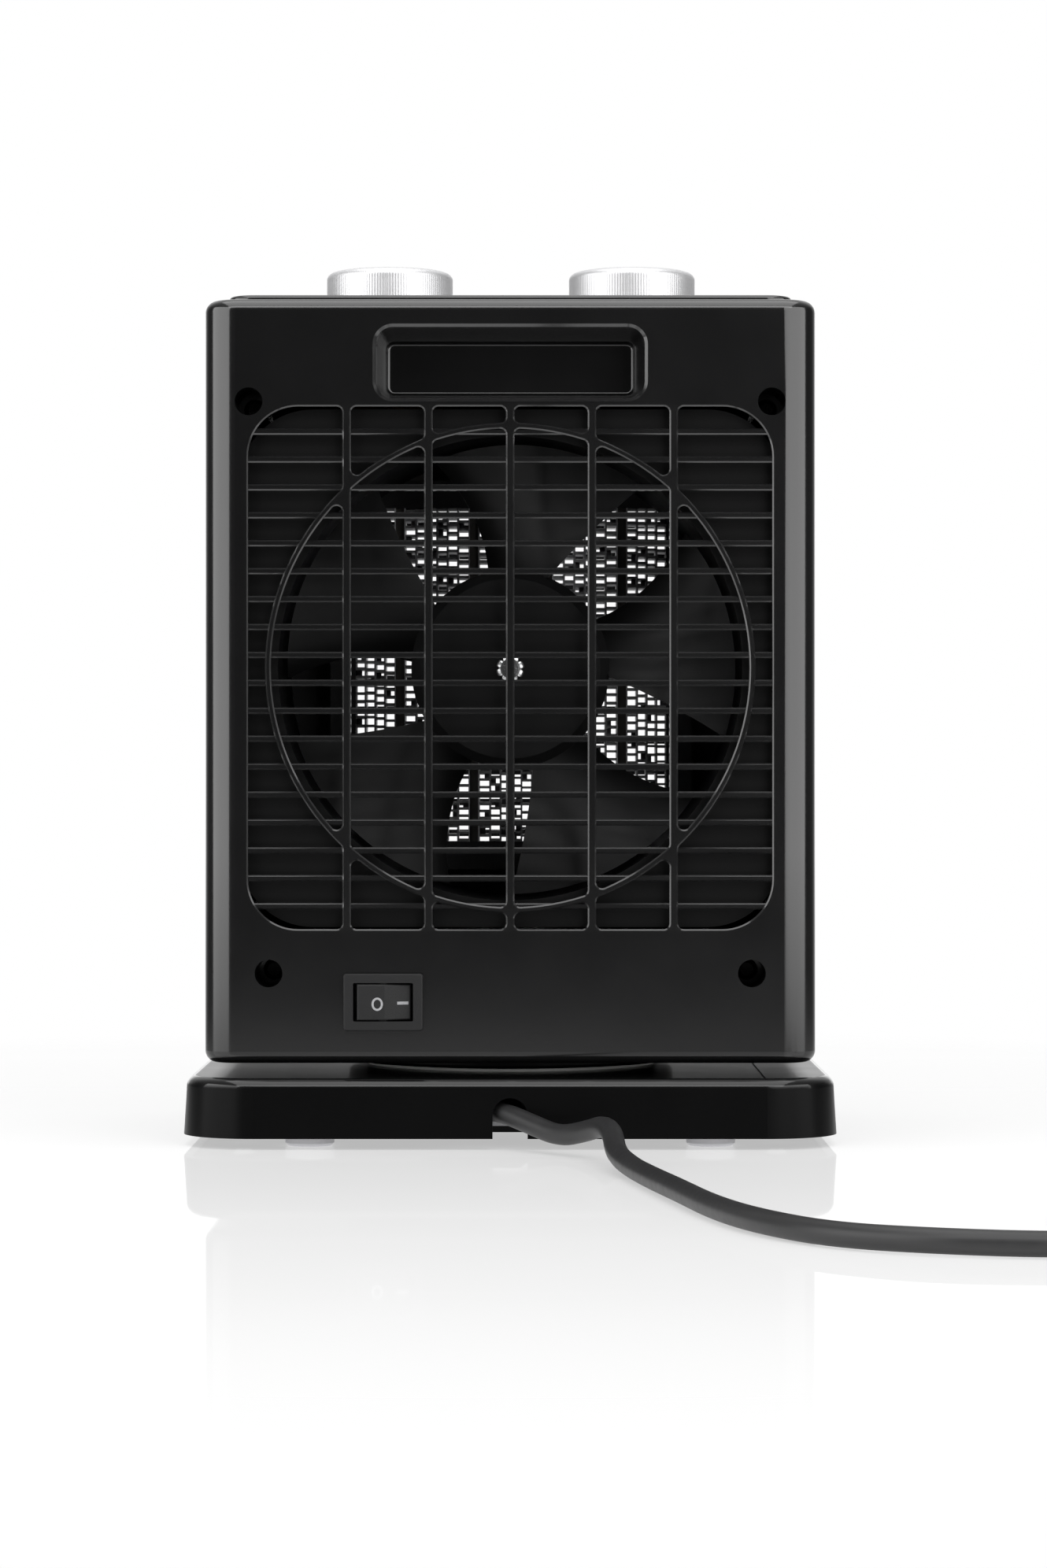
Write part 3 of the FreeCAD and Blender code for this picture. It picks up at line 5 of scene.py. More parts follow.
import bpy
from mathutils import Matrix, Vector


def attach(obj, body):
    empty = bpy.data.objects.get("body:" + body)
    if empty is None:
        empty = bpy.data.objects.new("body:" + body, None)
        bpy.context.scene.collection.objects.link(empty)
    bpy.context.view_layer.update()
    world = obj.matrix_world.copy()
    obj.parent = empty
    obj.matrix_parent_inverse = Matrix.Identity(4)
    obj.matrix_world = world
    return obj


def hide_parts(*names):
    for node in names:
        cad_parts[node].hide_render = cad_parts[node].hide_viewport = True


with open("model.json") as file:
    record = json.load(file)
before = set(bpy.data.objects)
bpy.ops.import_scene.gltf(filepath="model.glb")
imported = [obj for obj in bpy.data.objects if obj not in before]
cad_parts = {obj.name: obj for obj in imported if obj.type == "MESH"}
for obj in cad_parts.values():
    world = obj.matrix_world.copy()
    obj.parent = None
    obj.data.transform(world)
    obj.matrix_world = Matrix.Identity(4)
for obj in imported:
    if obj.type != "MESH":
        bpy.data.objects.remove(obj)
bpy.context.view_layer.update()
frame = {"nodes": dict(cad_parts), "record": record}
NODES = frame["nodes"]
SCENE = bpy.context.scene
SCENE.view_settings.view_transform = "Standard"
MM = 0.001
# Where each joint turns, in millimetres.
PIVOTS = {row["name"]: [c / MM for c in row["pos_m"]] for row in frame["record"]["behaviour"]["joints"]}

# ---------------------------------------------------------------- camera
EYE_PLACE = (-0.0036, 1.171, 0.0982)
LENS = 94.2

eye = bpy.data.objects.new("eye", bpy.data.cameras.new("eye"))
SCENE.collection.objects.link(eye)
eye.data.lens, eye.data.sensor_width = LENS, 36
eye.data.clip_start, eye.data.clip_end = 0.05, 20
eye.location = EYE_PLACE
eye.rotation_euler = (math.pi / 2, 0, math.pi)
SCENE.camera = eye


# ---------------------------------------------------------------- shader sums
def join(tree, given, target):
    if isinstance(given, Flow):
        tree.links.new(given.socket, target)
    else:
        target.default_value = given


class Flow:
    """A node's output that takes part in sums."""

    def __init__(self, tree, socket):
        self.tree, self.socket = tree, socket

    def step(self, operation, *inputs):
        node = self.tree.nodes.new("ShaderNodeMath")
        node.operation = operation
        for target, given in zip(node.inputs, inputs):
            join(self.tree, given, target)
        return Flow(self.tree, node.outputs[0])

    def __add__(self, other):
        return self.step("ADD", self, other)

    def __sub__(self, other):
        return self.step("SUBTRACT", self, other)

    def __rsub__(self, other):
        return self.step("SUBTRACT", other, self)

    def __mul__(self, other):
        return self.step("MULTIPLY", self, other)

    def __truediv__(self, other):
        return self.step("DIVIDE", self, other)

    __radd__, __rmul__ = __add__, __mul__

    def __abs__(self):
        return self.step("ABSOLUTE", self)

    def held(self):
        """The value kept between 0 and 1."""
        return self.step("MINIMUM", self.step("MAXIMUM", self, 0), 1)

    def ramp(self, low, high):
        """0 at low, 1 at high, straight between them and level outside."""
        return ((self - low) / (high - low)).held()


class Finish:
    """A material or a world whose nodes are made one by one."""

    def __init__(self, owner, end="ShaderNodeOutputMaterial"):
        owner.use_nodes = True
        self.owner, self.tree, self.end = owner, owner.node_tree, end
        self.tree.nodes.clear()

    def add(self, kind, out=0, settings=None, **sockets):
        """Any node, from its type, its settings and what goes into its sockets."""
        node = self.tree.nodes.new(kind)
        for key, chosen in (settings or {}).items():
            setattr(node, key, chosen)
        for key, given in sockets.items():
            for target in node.inputs:
                if target.name == key.replace("_", " ") and target.enabled:
                    join(self.tree, given, target)
        return Flow(self.tree, node.outputs[out])

    def place(self):
        """Where a point is, in metres. It rides with its own piece."""
        return self.add("ShaderNodeTexCoord", "Object")

    def facing(self):
        """Which way the surface faces. It rides with its own piece."""
        return self.add("ShaderNodeTexCoord", "Normal")

    def axes(self, vector):
        split = self.add("ShaderNodeSeparateXYZ", Vector=vector).socket.node
        return [Flow(self.tree, socket) for socket in split.outputs]

    def vector(self, **parts):
        return self.add("ShaderNodeCombineXYZ", **parts)

    def speckle(self, where, scale, detail=3.0):
        return self.add("ShaderNodeTexNoise", "Fac", Vector=where, Scale=scale, Detail=detail)

    def between(self, share, first, second):
        """A colour between two colours."""
        return self.add("ShaderNodeMix", 2, {"data_type": "RGBA"},
                        Factor=share, A=(*first, 1), B=(*second, 1))

    def dents(self, height, depth):
        return self.add("ShaderNodeBump", Height=height, Distance=depth, Strength=1.0)

    def surface(self, colour, roughness, **sockets):
        return self.add("ShaderNodeBsdfPrincipled", Base_Color=colour, Roughness=roughness, **sockets)

    def pair(self, kind, first, second):
        node = self.tree.nodes.new(kind)
        shaders = [socket for socket in node.inputs if socket.type == "SHADER"]
        join(self.tree, first, shaders[0])
        join(self.tree, second, shaders[1])
        return Flow(self.tree, node.outputs[0])

    def mixed(self, share, first, second):
        both = self.pair("ShaderNodeMixShader", first, second)
        join(self.tree, share, both.socket.node.inputs[0])
        return both

    def summed(self, first, second):
        return self.pair("ShaderNodeAddShader", first, second)

    def done(self, shader):
        end = self.tree.nodes.new(self.end)
        join(self.tree, shader, end.inputs["Surface"])
        return self.owner


def paint(name):
    return Finish(bpy.data.materials.new(name))


# ---------------------------------------------------------------- finishes
def moulded(name, dark, light, roughness, grain_size, grain_depth, gloss_spread=0.06, coat=0.0, ior=1.5,
            dull=None):
    """Moulded plastic: a slow change of tone, a fine grain, and gloss that varies as if handled.

    The grain's size and depth are in millimetres. Where dull is 1, the coat of polish is gone.
    """
    f = paint(name)
    where = f.place()
    if dull:
        coat = coat * (1 - dull(f))
    slow = f.speckle(where, 18, 2.0)
    grain = f.speckle(where, 1000 / grain_size, 2.0)
    smear = f.speckle(where, 60, 4.0)
    colour = f.between(slow * 0.6 + grain * 0.4, dark, light)
    rough = roughness + (smear - 0.5) * 2 * gloss_spread
    return f.done(f.surface(colour, rough, Normal=f.dents(grain, grain_depth * MM), Coat_Weight=coat,
                            Coat_Roughness=0.08, IOR=ior))


def grey(level):
    return (level, level, level * 1.03)


def casing_dullness(f):
    """Unpolished walls in the grip recess and the screw wells, and less polish towards the foot."""
    x, y, z = f.axes(f.place())
    facing_back = abs(f.axes(f.facing())[1])
    below_face = y.ramp(0.0612, 0.0604) * y.ramp(0.019, 0.021)
    inside = below_face * abs(x).ramp(0.0725, 0.0715) * z.ramp(0.227, 0.226)
    return (inside * facing_back.ramp(0.55, 0.3) + z.ramp(0.080, 0.028) * 0.75).held()


def base_dullness(f):
    """Unpolished upright walls, a polished shoulder, and little polish on the flat top."""
    facing_up = f.axes(f.facing())[2]
    return facing_up.ramp(0.40, 0.15) + facing_up.ramp(0.96, 0.995) * 0.8


def turned_silver(name):
    """Metallised knob skin: fine turning lines round the axis and a slightly cloudy gloss."""
    f = paint(name)
    where = f.place()
    x, y, z = f.axes(where)
    lines = f.speckle(f.vector(X=x * 6, Y=y * 6, Z=z * 2600), 1.0, 2.0)
    cloud = f.speckle(where, 220, 2.0)
    colour = f.between(lines * 0.7 + cloud * 0.3, (0.72, 0.72, 0.73), (0.84, 0.84, 0.85))
    return f.done(f.surface(colour, 0.34 + lines * 0.10, Metallic=0.60, Normal=f.dents(lines, 0.012 * MM)))


def plated(name, dark, light, roughness, scale):
    """Plated or rolled metal with faint mottling."""
    f = paint(name)
    where = f.place()
    mottle = f.speckle(where, scale, 4.0)
    fine = f.speckle(where, scale * 9, 2.0)
    return f.done(f.surface(f.between(mottle, dark, light), roughness + (fine - 0.5) * 0.16, Metallic=1.0,
                            Normal=f.dents(fine, 0.01 * MM)))


def ribbed_foil(name):
    """Rolled aluminium of the fins, bright, with draw lines from front to back."""
    f = paint(name)
    x, y, z = f.axes(f.place())
    lines = f.speckle(f.vector(X=x * 900, Y=y * 40, Z=z * 900), 1.0, 2.0)
    colour = f.between(lines, (0.30, 0.30, 0.31), (0.46, 0.46, 0.47))
    return f.done(f.surface(colour, 0.3 + lines * 0.2, Metallic=0.85, Normal=f.dents(lines, 0.01 * MM)))


def fired(name, dark, light):
    """Fired ceramic: matt and faintly pitted."""
    f = paint(name)
    where = f.place()
    pits = f.speckle(where, 1400, 3.0)
    cloud = f.speckle(where, 90, 3.0)
    colour = f.between(cloud, dark, light)
    return f.done(f.surface(colour, 0.62 + pits * 0.25, Normal=f.dents(pits, 0.05 * MM)))


def cord_skin(name):
    """Satin PVC with a slow change of tone and handling marks."""
    f = paint(name)
    where = f.place()
    scuffs = f.speckle(where, 300, 4.0)
    slow = f.speckle(where, 25, 2.0)
    colour = f.between(scuffs * 0.5 + slow * 0.5, grey(0.014), grey(0.028))
    return f.done(f.surface(colour, 0.34 + scuffs * 0.16, Normal=f.dents(scuffs, 0.03 * MM)))


def print_ink(name):
    """Pad-printed white ink, a little thin in places."""
    f = paint(name)
    thin = f.speckle(f.place(), 1500, 3.0)
    return f.done(f.surface(f.between(thin, grey(0.22), grey(0.42)), 0.5 + thin * 0.2))


SKINS = {
    "casing_black": moulded("casing_black", grey(0.0034), grey(0.0056), 0.20, 0.9, 0.006,
                            gloss_spread=0.05, coat=1.0, dull=casing_dullness),
    "base_black": moulded("base_black", grey(0.0016), grey(0.0030), 0.30, 1.2, 0.003,
                          gloss_spread=0.04, coat=1.0, ior=1.18, dull=base_dullness),
    "grille_black": moulded("grille_black", grey(0.0034), grey(0.0056), 0.22, 0.8, 0.006,
                            gloss_spread=0.05, coat=1.0),
    "inner_black": moulded("inner_black", grey(0.0012), grey(0.0026), 0.50, 0.7, 0.020, ior=1.25),
    "fan_black": moulded("fan_black", grey(0.0020), grey(0.0044), 0.38, 0.7, 0.015, ior=1.28),
    "knob_silver": turned_silver("knob_silver"),
    "switch_black": moulded("switch_black", grey(0.007), grey(0.013), 0.50, 0.28, 0.040, ior=1.38),
    "foot_rubber": moulded("foot_rubber", grey(0.80), grey(0.88), 0.45, 1.2, 0.020),
    "clamp_grey": moulded("clamp_grey", grey(0.40), grey(0.52), 0.50, 0.8, 0.020),
    "black_steel": moulded("black_steel", grey(0.006), grey(0.012), 0.50, 0.5, 0.020),
    "zinc_steel": plated("zinc_steel", (0.42, 0.43, 0.45), (0.64, 0.64, 0.62), 0.36, 260),
    "bright_steel": plated("bright_steel", (0.58, 0.58, 0.59), (0.74, 0.74, 0.74), 0.24, 420),
    "fin_aluminium": ribbed_foil("fin_aluminium"),
    "electrode_aluminium": plated("electrode_aluminium", (0.60, 0.60, 0.61), (0.74, 0.74, 0.75), 0.38, 500),
    "heating_ceramic": fired("heating_ceramic", (0.050, 0.046, 0.042), (0.095, 0.088, 0.080)),
    "heat_resin": moulded("heat_resin", grey(0.012), grey(0.022), 0.58, 0.6, 0.030),
    "nylon_white": moulded("nylon_white", (0.66, 0.66, 0.63), (0.76, 0.76, 0.73), 0.48, 0.9, 0.015),
    "switch_resin": moulded("switch_resin", (0.20, 0.09, 0.03), (0.30, 0.14, 0.05), 0.42, 0.8, 0.020),
    "cord_black": cord_skin("cord_black"),
    "pin_brass": plated("pin_brass", (0.70, 0.66, 0.56), (0.82, 0.78, 0.68), 0.22, 500),
}
SLOT_OF = {row["node"]: row["material_slot"] for row in frame["record"]["subparts"]}
for name, piece in NODES.items():
    piece.data.materials.clear()
    piece.data.materials.append(SKINS[SLOT_OF[name]])


# ---------------------------------------------------------------- ways to make a piece
def make(name, points, faces, skin, body, crease=35):
    """A mesh piece from points in millimetres, which rides on a body of the heater."""
    mesh = bpy.data.meshes.new(name)
    mesh.from_pydata([[c * MM for c in p] for p in points], [], faces)
    mesh.validate()
    mesh.polygons.foreach_set("use_smooth", [True] * len(mesh.polygons))
    mesh.set_sharp_from_angle(angle=math.radians(crease))
    mesh.materials.append(SKINS.get(skin) or skin)
    piece = bpy.data.objects.new(name, mesh)
    SCENE.collection.objects.link(piece)
    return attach(piece, body)


def skinned(rings, closed=False):
    """Points and faces of a skin over rings that hold equally many points."""
    count = len(rings[0])
    points = [p for ring in rings for p in ring]
    faces = []
    last = len(rings) if closed else len(rings) - 1
    for row in range(last):
        low, high = row * count, (row + 1) % len(rings) * count
        for i in range(count):
            j = (i + 1) % count
            faces.append((low + i, low + j, high + j, high + i))
    if not closed:
        faces.append(tuple(reversed(range(count))))
        faces.append(tuple(range((len(rings) - 1) * count, len(rings) * count)))
    return points, faces


SLAB_FACES = ((3, 2, 1, 0), (4, 5, 6, 7), (0, 1, 5, 4), (1, 2, 6, 5), (2, 3, 7, 6), (3, 0, 4, 7))


def slab_faces(first):
    """Faces of a slab whose lower and upper four corners start at the point numbered first."""
    return [tuple(first + i for i in face) for face in SLAB_FACES]


def bricks(blocks):
    """Points and faces of level boxes, each from a low and a high corner."""
    points, faces = [], []
    for (x0, y0, z0), (x1, y1, z1) in blocks:
        n = len(points)
        points += [(x, y, z) for x in (x0, x1) for y in (y0, y1) for z in (z0, z1)]
        faces += [tuple(n + i for i in f) for f in
                  ((0, 1, 3, 2), (4, 6, 7, 5), (0, 4, 5, 1), (2, 3, 7, 6), (0, 2, 6, 4), (1, 5, 7, 3))]
    return points, faces


# ---------------------------------------------------------------- mains lead
ROUTE = [
    (8.6, 57.5, 10.2), (2.2, 66.5, 10), (-5.8, 77, 7.4), (-13.2, 86.2, 5), (-19.8, 94.5, 7),
    (-24.4, 104, 9.4), (-26.6, 115.5, 8.4), (-27, 131, 4.5), (-30.5, 152, 3), (-35, 180, 2.9),
    (-40, 210, 3.1), (-46.5, 247, 2.85), (-55, 279, 3.1), (-69, 303, 2.85), (-89, 317, 3.1),
    (-113, 322, 2.85), (-138, 321, 3.1), (-161, 312.8, 2.85), (-180.3, 300.3, 2.9),
]
TAIL = [(-199.4, 264, 8.4), (-200.2, 248, 8), (-200.6, 234, 7.2), (-200.4, 222, 7), (-200.4, 217, 7)]
COIL_MIDDLE = (-163, 268)
CORD_WIDTH = 5.6


def coil_turns():
    """Two flat layers of turns side by side, wound inwards below and outwards on top."""
    first, wide, per_turn = 127 / 360, 36.4, 20
    layer, climb = 2.5, 53 / 360
    total = 2 * layer + climb
    inner = wide - layer * CORD_WIDTH
    points = []
    for i in range(int(total * per_turn) + 1):
        turn = i / per_turn
        up = min(max((turn - layer) / climb, 0), 1)
        if turn < layer:
            radius = wide - turn * CORD_WIDTH
        else:
            radius = inner + max(turn - layer - climb, 0) * CORD_WIDTH
        angle = 2 * math.pi * (first + turn)
        points.append((COIL_MIDDLE[0] + radius * math.cos(angle),
                       COIL_MIDDLE[1] + radius * math.sin(angle),
                       CORD_WIDTH / 2 + up * CORD_WIDTH))
    return points


def lead():
    line = bpy.data.curves.new("mains_lead", "CURVE")
    line.dimensions = "3D"
    line.bevel_depth, line.bevel_resolution = CORD_WIDTH / 2 * MM, 6
    line.use_fill_caps = True
    points = ROUTE + coil_turns() + TAIL
    spline = line.splines.new("NURBS")
    spline.points.add(len(points) - 1)
    for point, at in zip(spline.points, points):
        point.co = (*[c * MM for c in at], 1)
    spline.order_u = 3
    spline.use_endpoint_u = True
    spline.resolution_u = 6
    line.materials.append(SKINS["cord_black"])
    piece = bpy.data.objects.new("mains_lead", line)
    SCENE.collection.objects.link(piece)
    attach(piece, "base")
    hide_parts("mains_cord", "cord_coil", "cord_tail")
    return piece


def capsule(across, tall, y, middle, corner, count=12):
    """A rounded rectangle in an upright plane at y, as a ring of points."""
    ring = []
    for turn, (sx, sz) in enumerate(((1, 1), (-1, 1), (-1, -1), (1, -1))):
        for i in range(count):
            a = math.pi / 2 * (turn + i / (count - 1))
            ring.append((middle[0] + sx * (across / 2 - corner) + corner * math.cos(a), y,
                         middle[1] + sz * (tall / 2 - corner) + corner * math.sin(a)))
    return ring


PLUG_MIDDLE = (-200.4, 7)


def plug_shell():
    """A slim two-pin plug: a rounded face, a waisted grip and a neck."""
    # y, width, height and corner of each section
    steps = [
        (177.0, 30.0, 10.4, 5.1), (177.3, 32.0, 12.2, 6.0), (178.0, 33.4, 13.4, 6.6),
        (179.2, 34.0, 14.0, 6.9), (185.5, 34.0, 14.0, 6.9), (188.0, 33.0, 13.8, 6.8),
        (190.5, 30.0, 13.4, 6.6), (193.0, 26.4, 13.1, 6.5), (195.5, 23.6, 12.9, 6.4),
        (198.0, 21.8, 12.7, 6.3), (200.0, 20.2, 12.2, 6.0), (201.2, 17.6, 11.6, 5.7),
        (202.0, 13.0, 11.0, 5.4),
    ]
    rings = [capsule(across, tall, y, PLUG_MIDDLE, corner) for y, across, tall, corner in steps]
    points, faces = skinned(rings)
    shell = make("plug_shell", points, faces, "cord_black", "base", 50)
    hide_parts("plug_body")
    return shell


def plug_relief():
    """The strain relief: a tapered sleeve with ring grooves."""
    start, length, steps, sides = 201, 21, 60, 32
    thick, thin, groove = 5.3, 3.4, 0.9
    rings = []
    for i in range(steps + 1):
        grooved = (i // 5) % 2 and 5 < i < 56
        radius = thick - (thick - thin) * i / steps - (groove if grooved else 0)
        ring = []
        for side in range(sides):
            angle = 2 * math.pi * side / sides
            ring.append((PLUG_MIDDLE[0] + radius * math.cos(angle), start + length * i / steps,
                         PLUG_MIDDLE[1] + radius * math.sin(angle)))
        rings.append(ring)
    points, faces = skinned(rings)
    return make("plug_relief", points, faces, "cord_black", "base", 30)


mains_lead = lead()
shell, relief = plug_shell(), plug_relief()


# ---------------------------------------------------------------- knobs and their dials
THERMOSTAT_ACROSS, MODE_ACROSS = PIVOTS["thermostat_turn"][0], PIVOTS["mode_turn"][0]


def knob_skin(name, x, node, body):
    """A turned knob: gripping flutes round the side, a bright bevel and a dished top."""
    # radius and height of each ring
    profile = [
        (3.1, 232.7), (17.0, 232.6), (17.0, 232.05), (17.55, 232.0), (17.9, 232.3), (17.92, 232.8),
        (17.92, 241.6), (17.9, 242.2), (17.55, 242.9), (16.9, 243.45), (16.0, 243.75), (15.4, 243.8),
        (15.0, 243.7), (14.7, 243.4), (14.2, 243.25), (0.4, 243.2),
    ]
    count, flutes, flute_depth, fluted = 720, 144, 0.07, (5, 6)
    rings = []
    for level, (radius, height) in enumerate(profile):
        cut = flute_depth if level in fluted else 0
        ring = []
        for i in range(count):
            angle = 2 * math.pi * i / count
            reach = radius - cut * (0.5 - 0.5 * math.cos(flutes * angle))
            ring.append((x + reach * math.cos(angle), reach * math.sin(angle), height))
        rings.append(ring)
    points, faces = skinned(rings)
    piece = make(name, points, faces, "knob_silver", body, 40)
    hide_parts(node)
    return piece


INK = print_ink("print_ink")


def dial_marks():
    """Printed marks on the panel: a growing band of ticks by the thermostat, dots by the mode knob."""
    low, high = 231.38, 231.46
    points, faces = [], []

    def bar(x, angle, near, far, half):
        """One tick beside the knob at x: its direction, its two distances and half its width."""
        n = len(points)
        turn = math.radians(angle)
        ahead, side = (math.sin(turn), math.cos(turn)), (math.cos(turn), -math.sin(turn))
        for z in (low, high):
            for r, s in ((near, -half), (far, -half), (far, half), (near, half)):
                points.append((x + r * ahead[0] + s * side[0], r * ahead[1] + s * side[1], z))
        faces.extend(slab_faces(n))

    for step in range(15):
        bar(THERMOSTAT_ACROSS, 40 + step * 20, 20.2, 21.2 + step * 0.16, 0.35 + step * 0.035)
    bar(MODE_ACROSS, 120, 20.4, 23.0, 0.3)
    for power, angle in ((1, 160), (2, 200), (3, 240)):
        for dot in range(power):
            bar(MODE_ACROSS, angle + (dot - (power - 1) / 2) * 5, 20.4, 21.6, 0.55)
    return make("dial_marks", points, faces, INK, "head", 30)


def knob_pointer(name, x, body):
    """A painted groove on a knob's top that shows where it stands."""
    points, faces = bricks([((x - 0.5, -14.0, 243.15), (x + 0.5, -7.0, 243.3))])
    return make(name, points, faces, "switch_black", body, 30)


knob_skin("thermostat_knob_turned", THERMOSTAT_ACROSS, "thermostat_knob", "thermostat_control")
knob_skin("mode_knob_turned", MODE_ACROSS, "mode_knob", "mode_control")
knob_pointer("thermostat_pointer", THERMOSTAT_ACROSS, "thermostat_control")
knob_pointer("mode_pointer", MODE_ACROSS, "mode_control")
dial_marks()


# ---------------------------------------------------------------- rocker marks
def rocker_marks():
    """The O and the dash, printed on the two slopes of the rocker."""
    across, back, level = PIVOTS["rocker_tilt"]
    along, out = math.cos(math.radians(9)), math.sin(math.radians(9))
    crown, slope, ink_thickness = 2.56, (2.59 - 1.83) / 7.41, 0.07

    def on_face(u, w, lift):
        """A point on the rocker's face, u across and w up from its pin."""
        y = crown - slope * abs(u) + lift * ink_thickness
        return across + u * along - y * out, back + u * out + y * along, level + w

    count, stroke = 36, 0.56
    wide, tall, at_u, at_w = 3.05, 3.6, 1.95, -0.5
    rings = []
    for inset, lift in ((0, 0), (0, 1), (stroke, 1), (stroke, 0)):
        ring = []
        for i in range(count):
            angle = 2 * math.pi * i / count
            ring.append(on_face(at_u + (wide / 2 - inset) * math.cos(angle),
                                at_w + (tall / 2 - inset) * math.sin(angle), lift))
        rings.append(ring)
    points, faces = skinned(rings, closed=True)
    faces += slab_faces(len(points))
    dash = ((-6.6, -0.65), (-3.5, -0.65), (-3.5, 0.15), (-6.6, 0.15))
    for lift in (0, 1):
        points += [on_face(u, w, lift) for u, w in dash]
    return make("rocker_marks", points, faces, INK, "rocker", 30)


rocker_marks()


# ---------------------------------------------------------------- heating block
def honeycomb_fins():
    """Folded foil between the ceramic bars: thin uprights with staggered, slightly uneven folds."""
    draw = random.Random(7)
    bar_half, block_half, low, high = 1.6, 44.7, 81.8, 177.4
    near, far = -23.4, -10.6
    column, fold_pitch, upright_half, inset = 2.9, 2.3, 0.26, 0.3
    bent_share, bent_wide, bent_depth = 0.2, 0.55, 4
    bars = [-31.95, -10.65, 10.65, 31.95]
    edges = [-block_half - bar_half] + bars + [block_half + bar_half]
    blocks = []
    for left, right in zip(edges, edges[1:]):
        x0, x1 = left + bar_half, right - bar_half
        columns = max(2, round((x1 - x0) / column))
        wide = (x1 - x0) / columns
        for c in range(columns):
            start = x0 + c * wide
            if c:
                blocks.append(((start - upright_half, near, low), (start + upright_half, far, high)))
            level = low + (1.2 if c % 2 else 0.05) + draw.uniform(0, 0.5)
            while level < high - 0.3:
                half = 0.30 + draw.uniform(0, 0.14)
                blocks.append(((start, near + inset, level - half),
                               (start + wide, far - inset, level + half)))
                step = fold_pitch + draw.uniform(-0.25, 0.3)
                bent_over = draw.random() < bent_share
                if bent_over and level + step < high:
                    side = start + draw.choice((0, 1 - bent_wide)) * wide
                    blocks.append(((side, near + bent_depth, level),
                                   (side + bent_wide * wide, near + bent_depth + 0.3, level + step)))
                level += step
    points, faces = bricks(blocks)
    fins = make("honeycomb_fins", points, faces, "fin_aluminium", "head", 30)
    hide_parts("fin_packs")
    return fins


honeycomb_fins()


# ---------------------------------------------------------------- fan clip
def star_clip():
    """The push-on clip of the fan: a domed ring with radial slots round a raised collar."""
    count, slot_depth, level = 64, 0.55, PIVOTS["fan_spin"][2]
    # radius and y of each ring
    profile = [
        (3.75, 54.0), (3.75, 54.35), (3.4, 54.75), (2.7, 54.95), (2.7, 55.55), (2.1, 55.58), (2.1, 54.0),
    ]
    rings = []
    for radius, y in profile:
        ring = []
        for i in range(count):
            reach = radius - (slot_depth if radius > 3.3 and i % 8 < 2 else 0)
            angle = 2 * math.pi * i / count
            ring.append((reach * math.cos(angle), y, level + reach * math.sin(angle)))
        rings.append(ring)
    points, faces = skinned(rings, closed=True)
    clip = make("star_clip", points, faces, "bright_steel", "fan", 30)
    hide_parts("impeller_clip")
    return clip


star_clip()


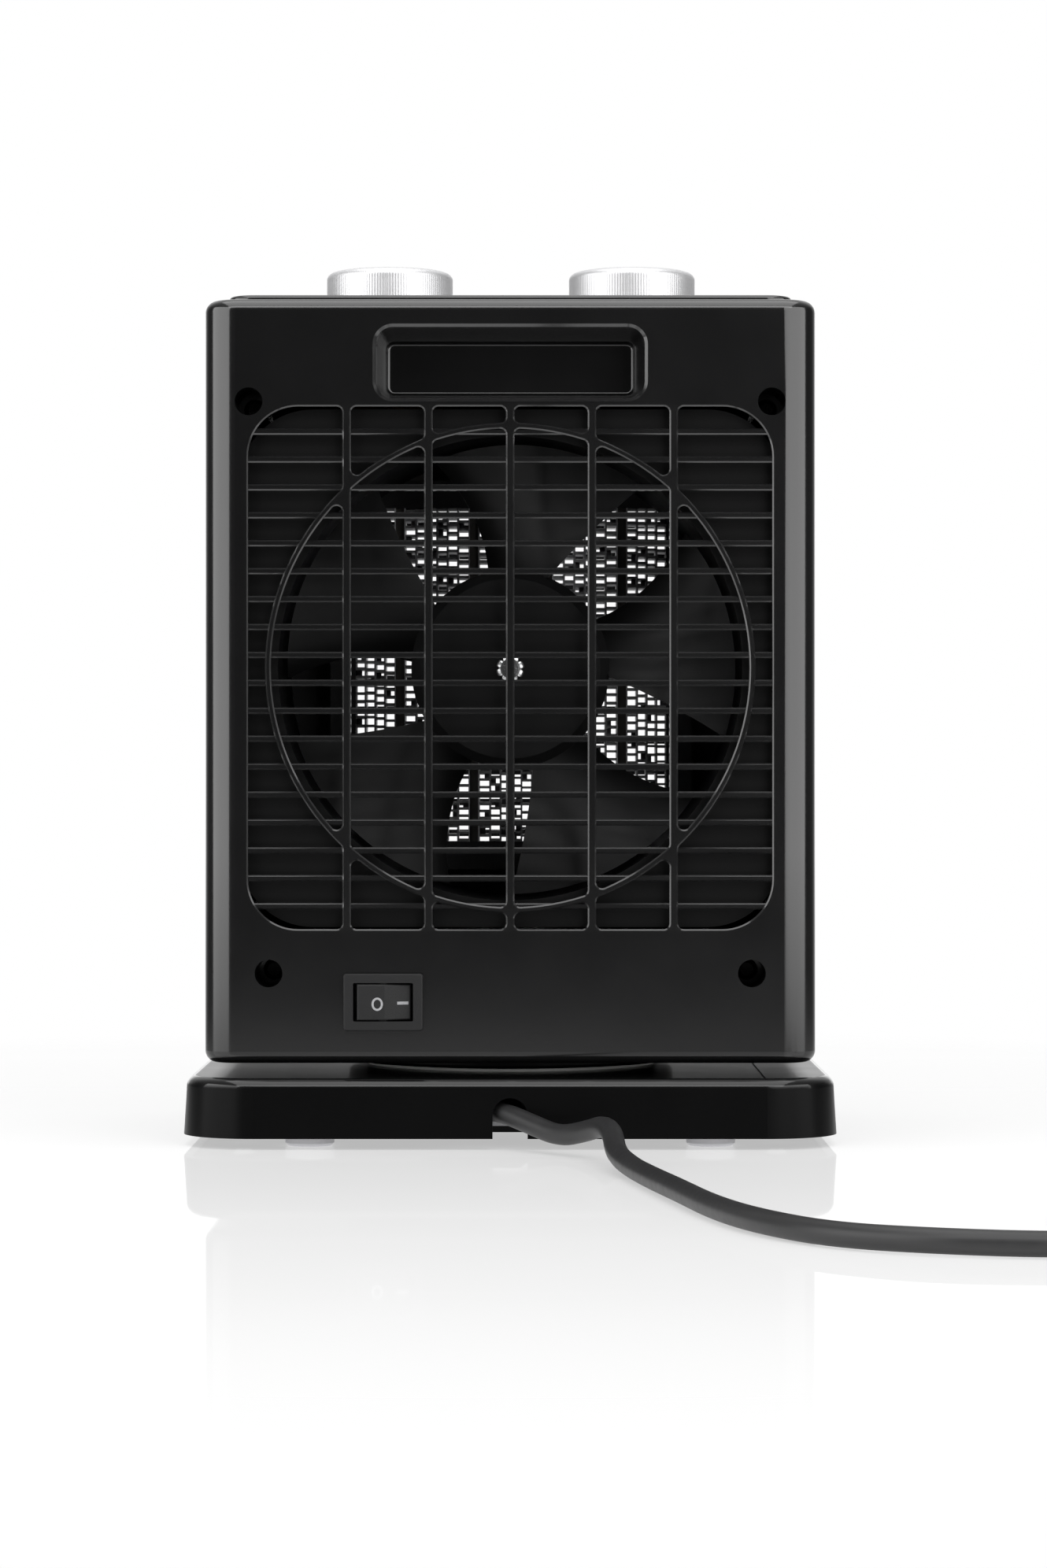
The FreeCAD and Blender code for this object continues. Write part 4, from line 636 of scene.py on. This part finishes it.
# ---------------------------------------------------------------- studio
def studio_floor():
    """A pale floor that fades out with distance, with a faint mirror of what stands on it."""
    count, reach = 96, 1600
    points = [(0, 0, 0)]
    for i in range(count):
        angle = 2 * math.pi * i / count
        points.append((reach * math.cos(angle), reach * math.sin(angle), 0))
    faces = [(0, 1 + i, 1 + (i + 1) % count) for i in range(count)]
    mesh = bpy.data.meshes.new("studio_floor")
    mesh.from_pydata([[c * MM for c in p] for p in points], [], faces)
    f = paint("studio_floor")
    where = f.place()
    y = f.axes(where)[1]
    soft = f.speckle(where, 3, 2.0)
    distance = f.add("ShaderNodeVectorMath", "Value", {"operation": "LENGTH"}, Vector=where)
    matt = f.add("ShaderNodeBsdfDiffuse", Color=f.between(soft, (0.32, 0.32, 0.32), (0.34, 0.34, 0.34)))
    mirror = f.add("ShaderNodeBsdfGlossy", Roughness=0.02, Color=(1, 1, 1, 1))
    glow = f.add("ShaderNodeEmission", Color=(1, 1, 1, 1), Strength=0.60)
    # the mirror weakens beyond the heater's front and far out behind its back
    sheen = (1 - y.ramp(0.16, 0.72)) * (0.3 + y.ramp(-0.25, -0.05) * 0.7) * 0.23
    polished = f.mixed(sheen, f.summed(matt, glow), mirror)
    clear = f.add("ShaderNodeBsdfTransparent")
    # the floor fades out with distance, and sooner in front of the heater
    faded = (distance.ramp(0.38, 0.68) + y.ramp(0.03, -0.30) * 0.75).held()
    mesh.materials.append(f.done(f.mixed(faded, polished, clear)))
    floor = bpy.data.objects.new("studio_floor", mesh)
    SCENE.collection.objects.link(floor)


def studio_light(name, at, aim, size, power):
    """A soft panel of light that is not seen itself."""
    lamp = bpy.data.lights.new(name, "AREA")
    lamp.shape, lamp.size, lamp.size_y, lamp.energy = "RECTANGLE", size[0], size[1], power
    piece = bpy.data.objects.new(name, lamp)
    SCENE.collection.objects.link(piece)
    piece.location = at
    piece.rotation_euler = (Vector(aim) - Vector(at)).to_track_quat("-Z", "Y").to_euler()
    piece.visible_camera = False


def studio_room():
    """White to the camera; for the light, bright behind the heater and dim behind the camera."""
    world = bpy.data.worlds.new("studio_room")
    SCENE.world = world
    f = Finish(world, "ShaderNodeOutputWorld")
    x, y, z = f.axes(f.add("ShaderNodeTexCoord", "Generated"))
    behind = y.ramp(0.0, -0.7)
    horizon = y.ramp(-0.86, -0.95) * z.ramp(0.34, 0.26) * z.ramp(-0.04, 0.0)
    level = 0.03 + horizon * 0.6 + behind * (0.05 + abs(x).ramp(0.78, 0.40) * 0.45) + z.ramp(0.35, 0.9) * 0.3
    seen = f.add("ShaderNodeLightPath", "Is Camera Ray")
    backdrop = f.add("ShaderNodeBackground", Color=(1, 1, 1, 1), Strength=level * (1 - seen) + seen)
    f.done(backdrop)


studio_floor()
studio_room()
# name, place, what it points at, width and height, watts
for lamp_row in (
    ("left_softbox", (1.2, 0.62, 0.35), (0.1, 0, 0.12), (1.7, 1.3), 15.5),
    ("right_softbox", (-1.02, 0.86, 0.35), (-0.1, 0, 0.12), (1.8, 1.3), 16),
    ("top_softbox", (0, 0.3, 1.45), (0, 0.1, 0.12), (1.6, 1.5), 13),
    ("rear_strip", (0, 1.25, 1.15), (0, 0.07, 0.05), (1.8, 0.4), 7),
):
    studio_light(*lamp_row)
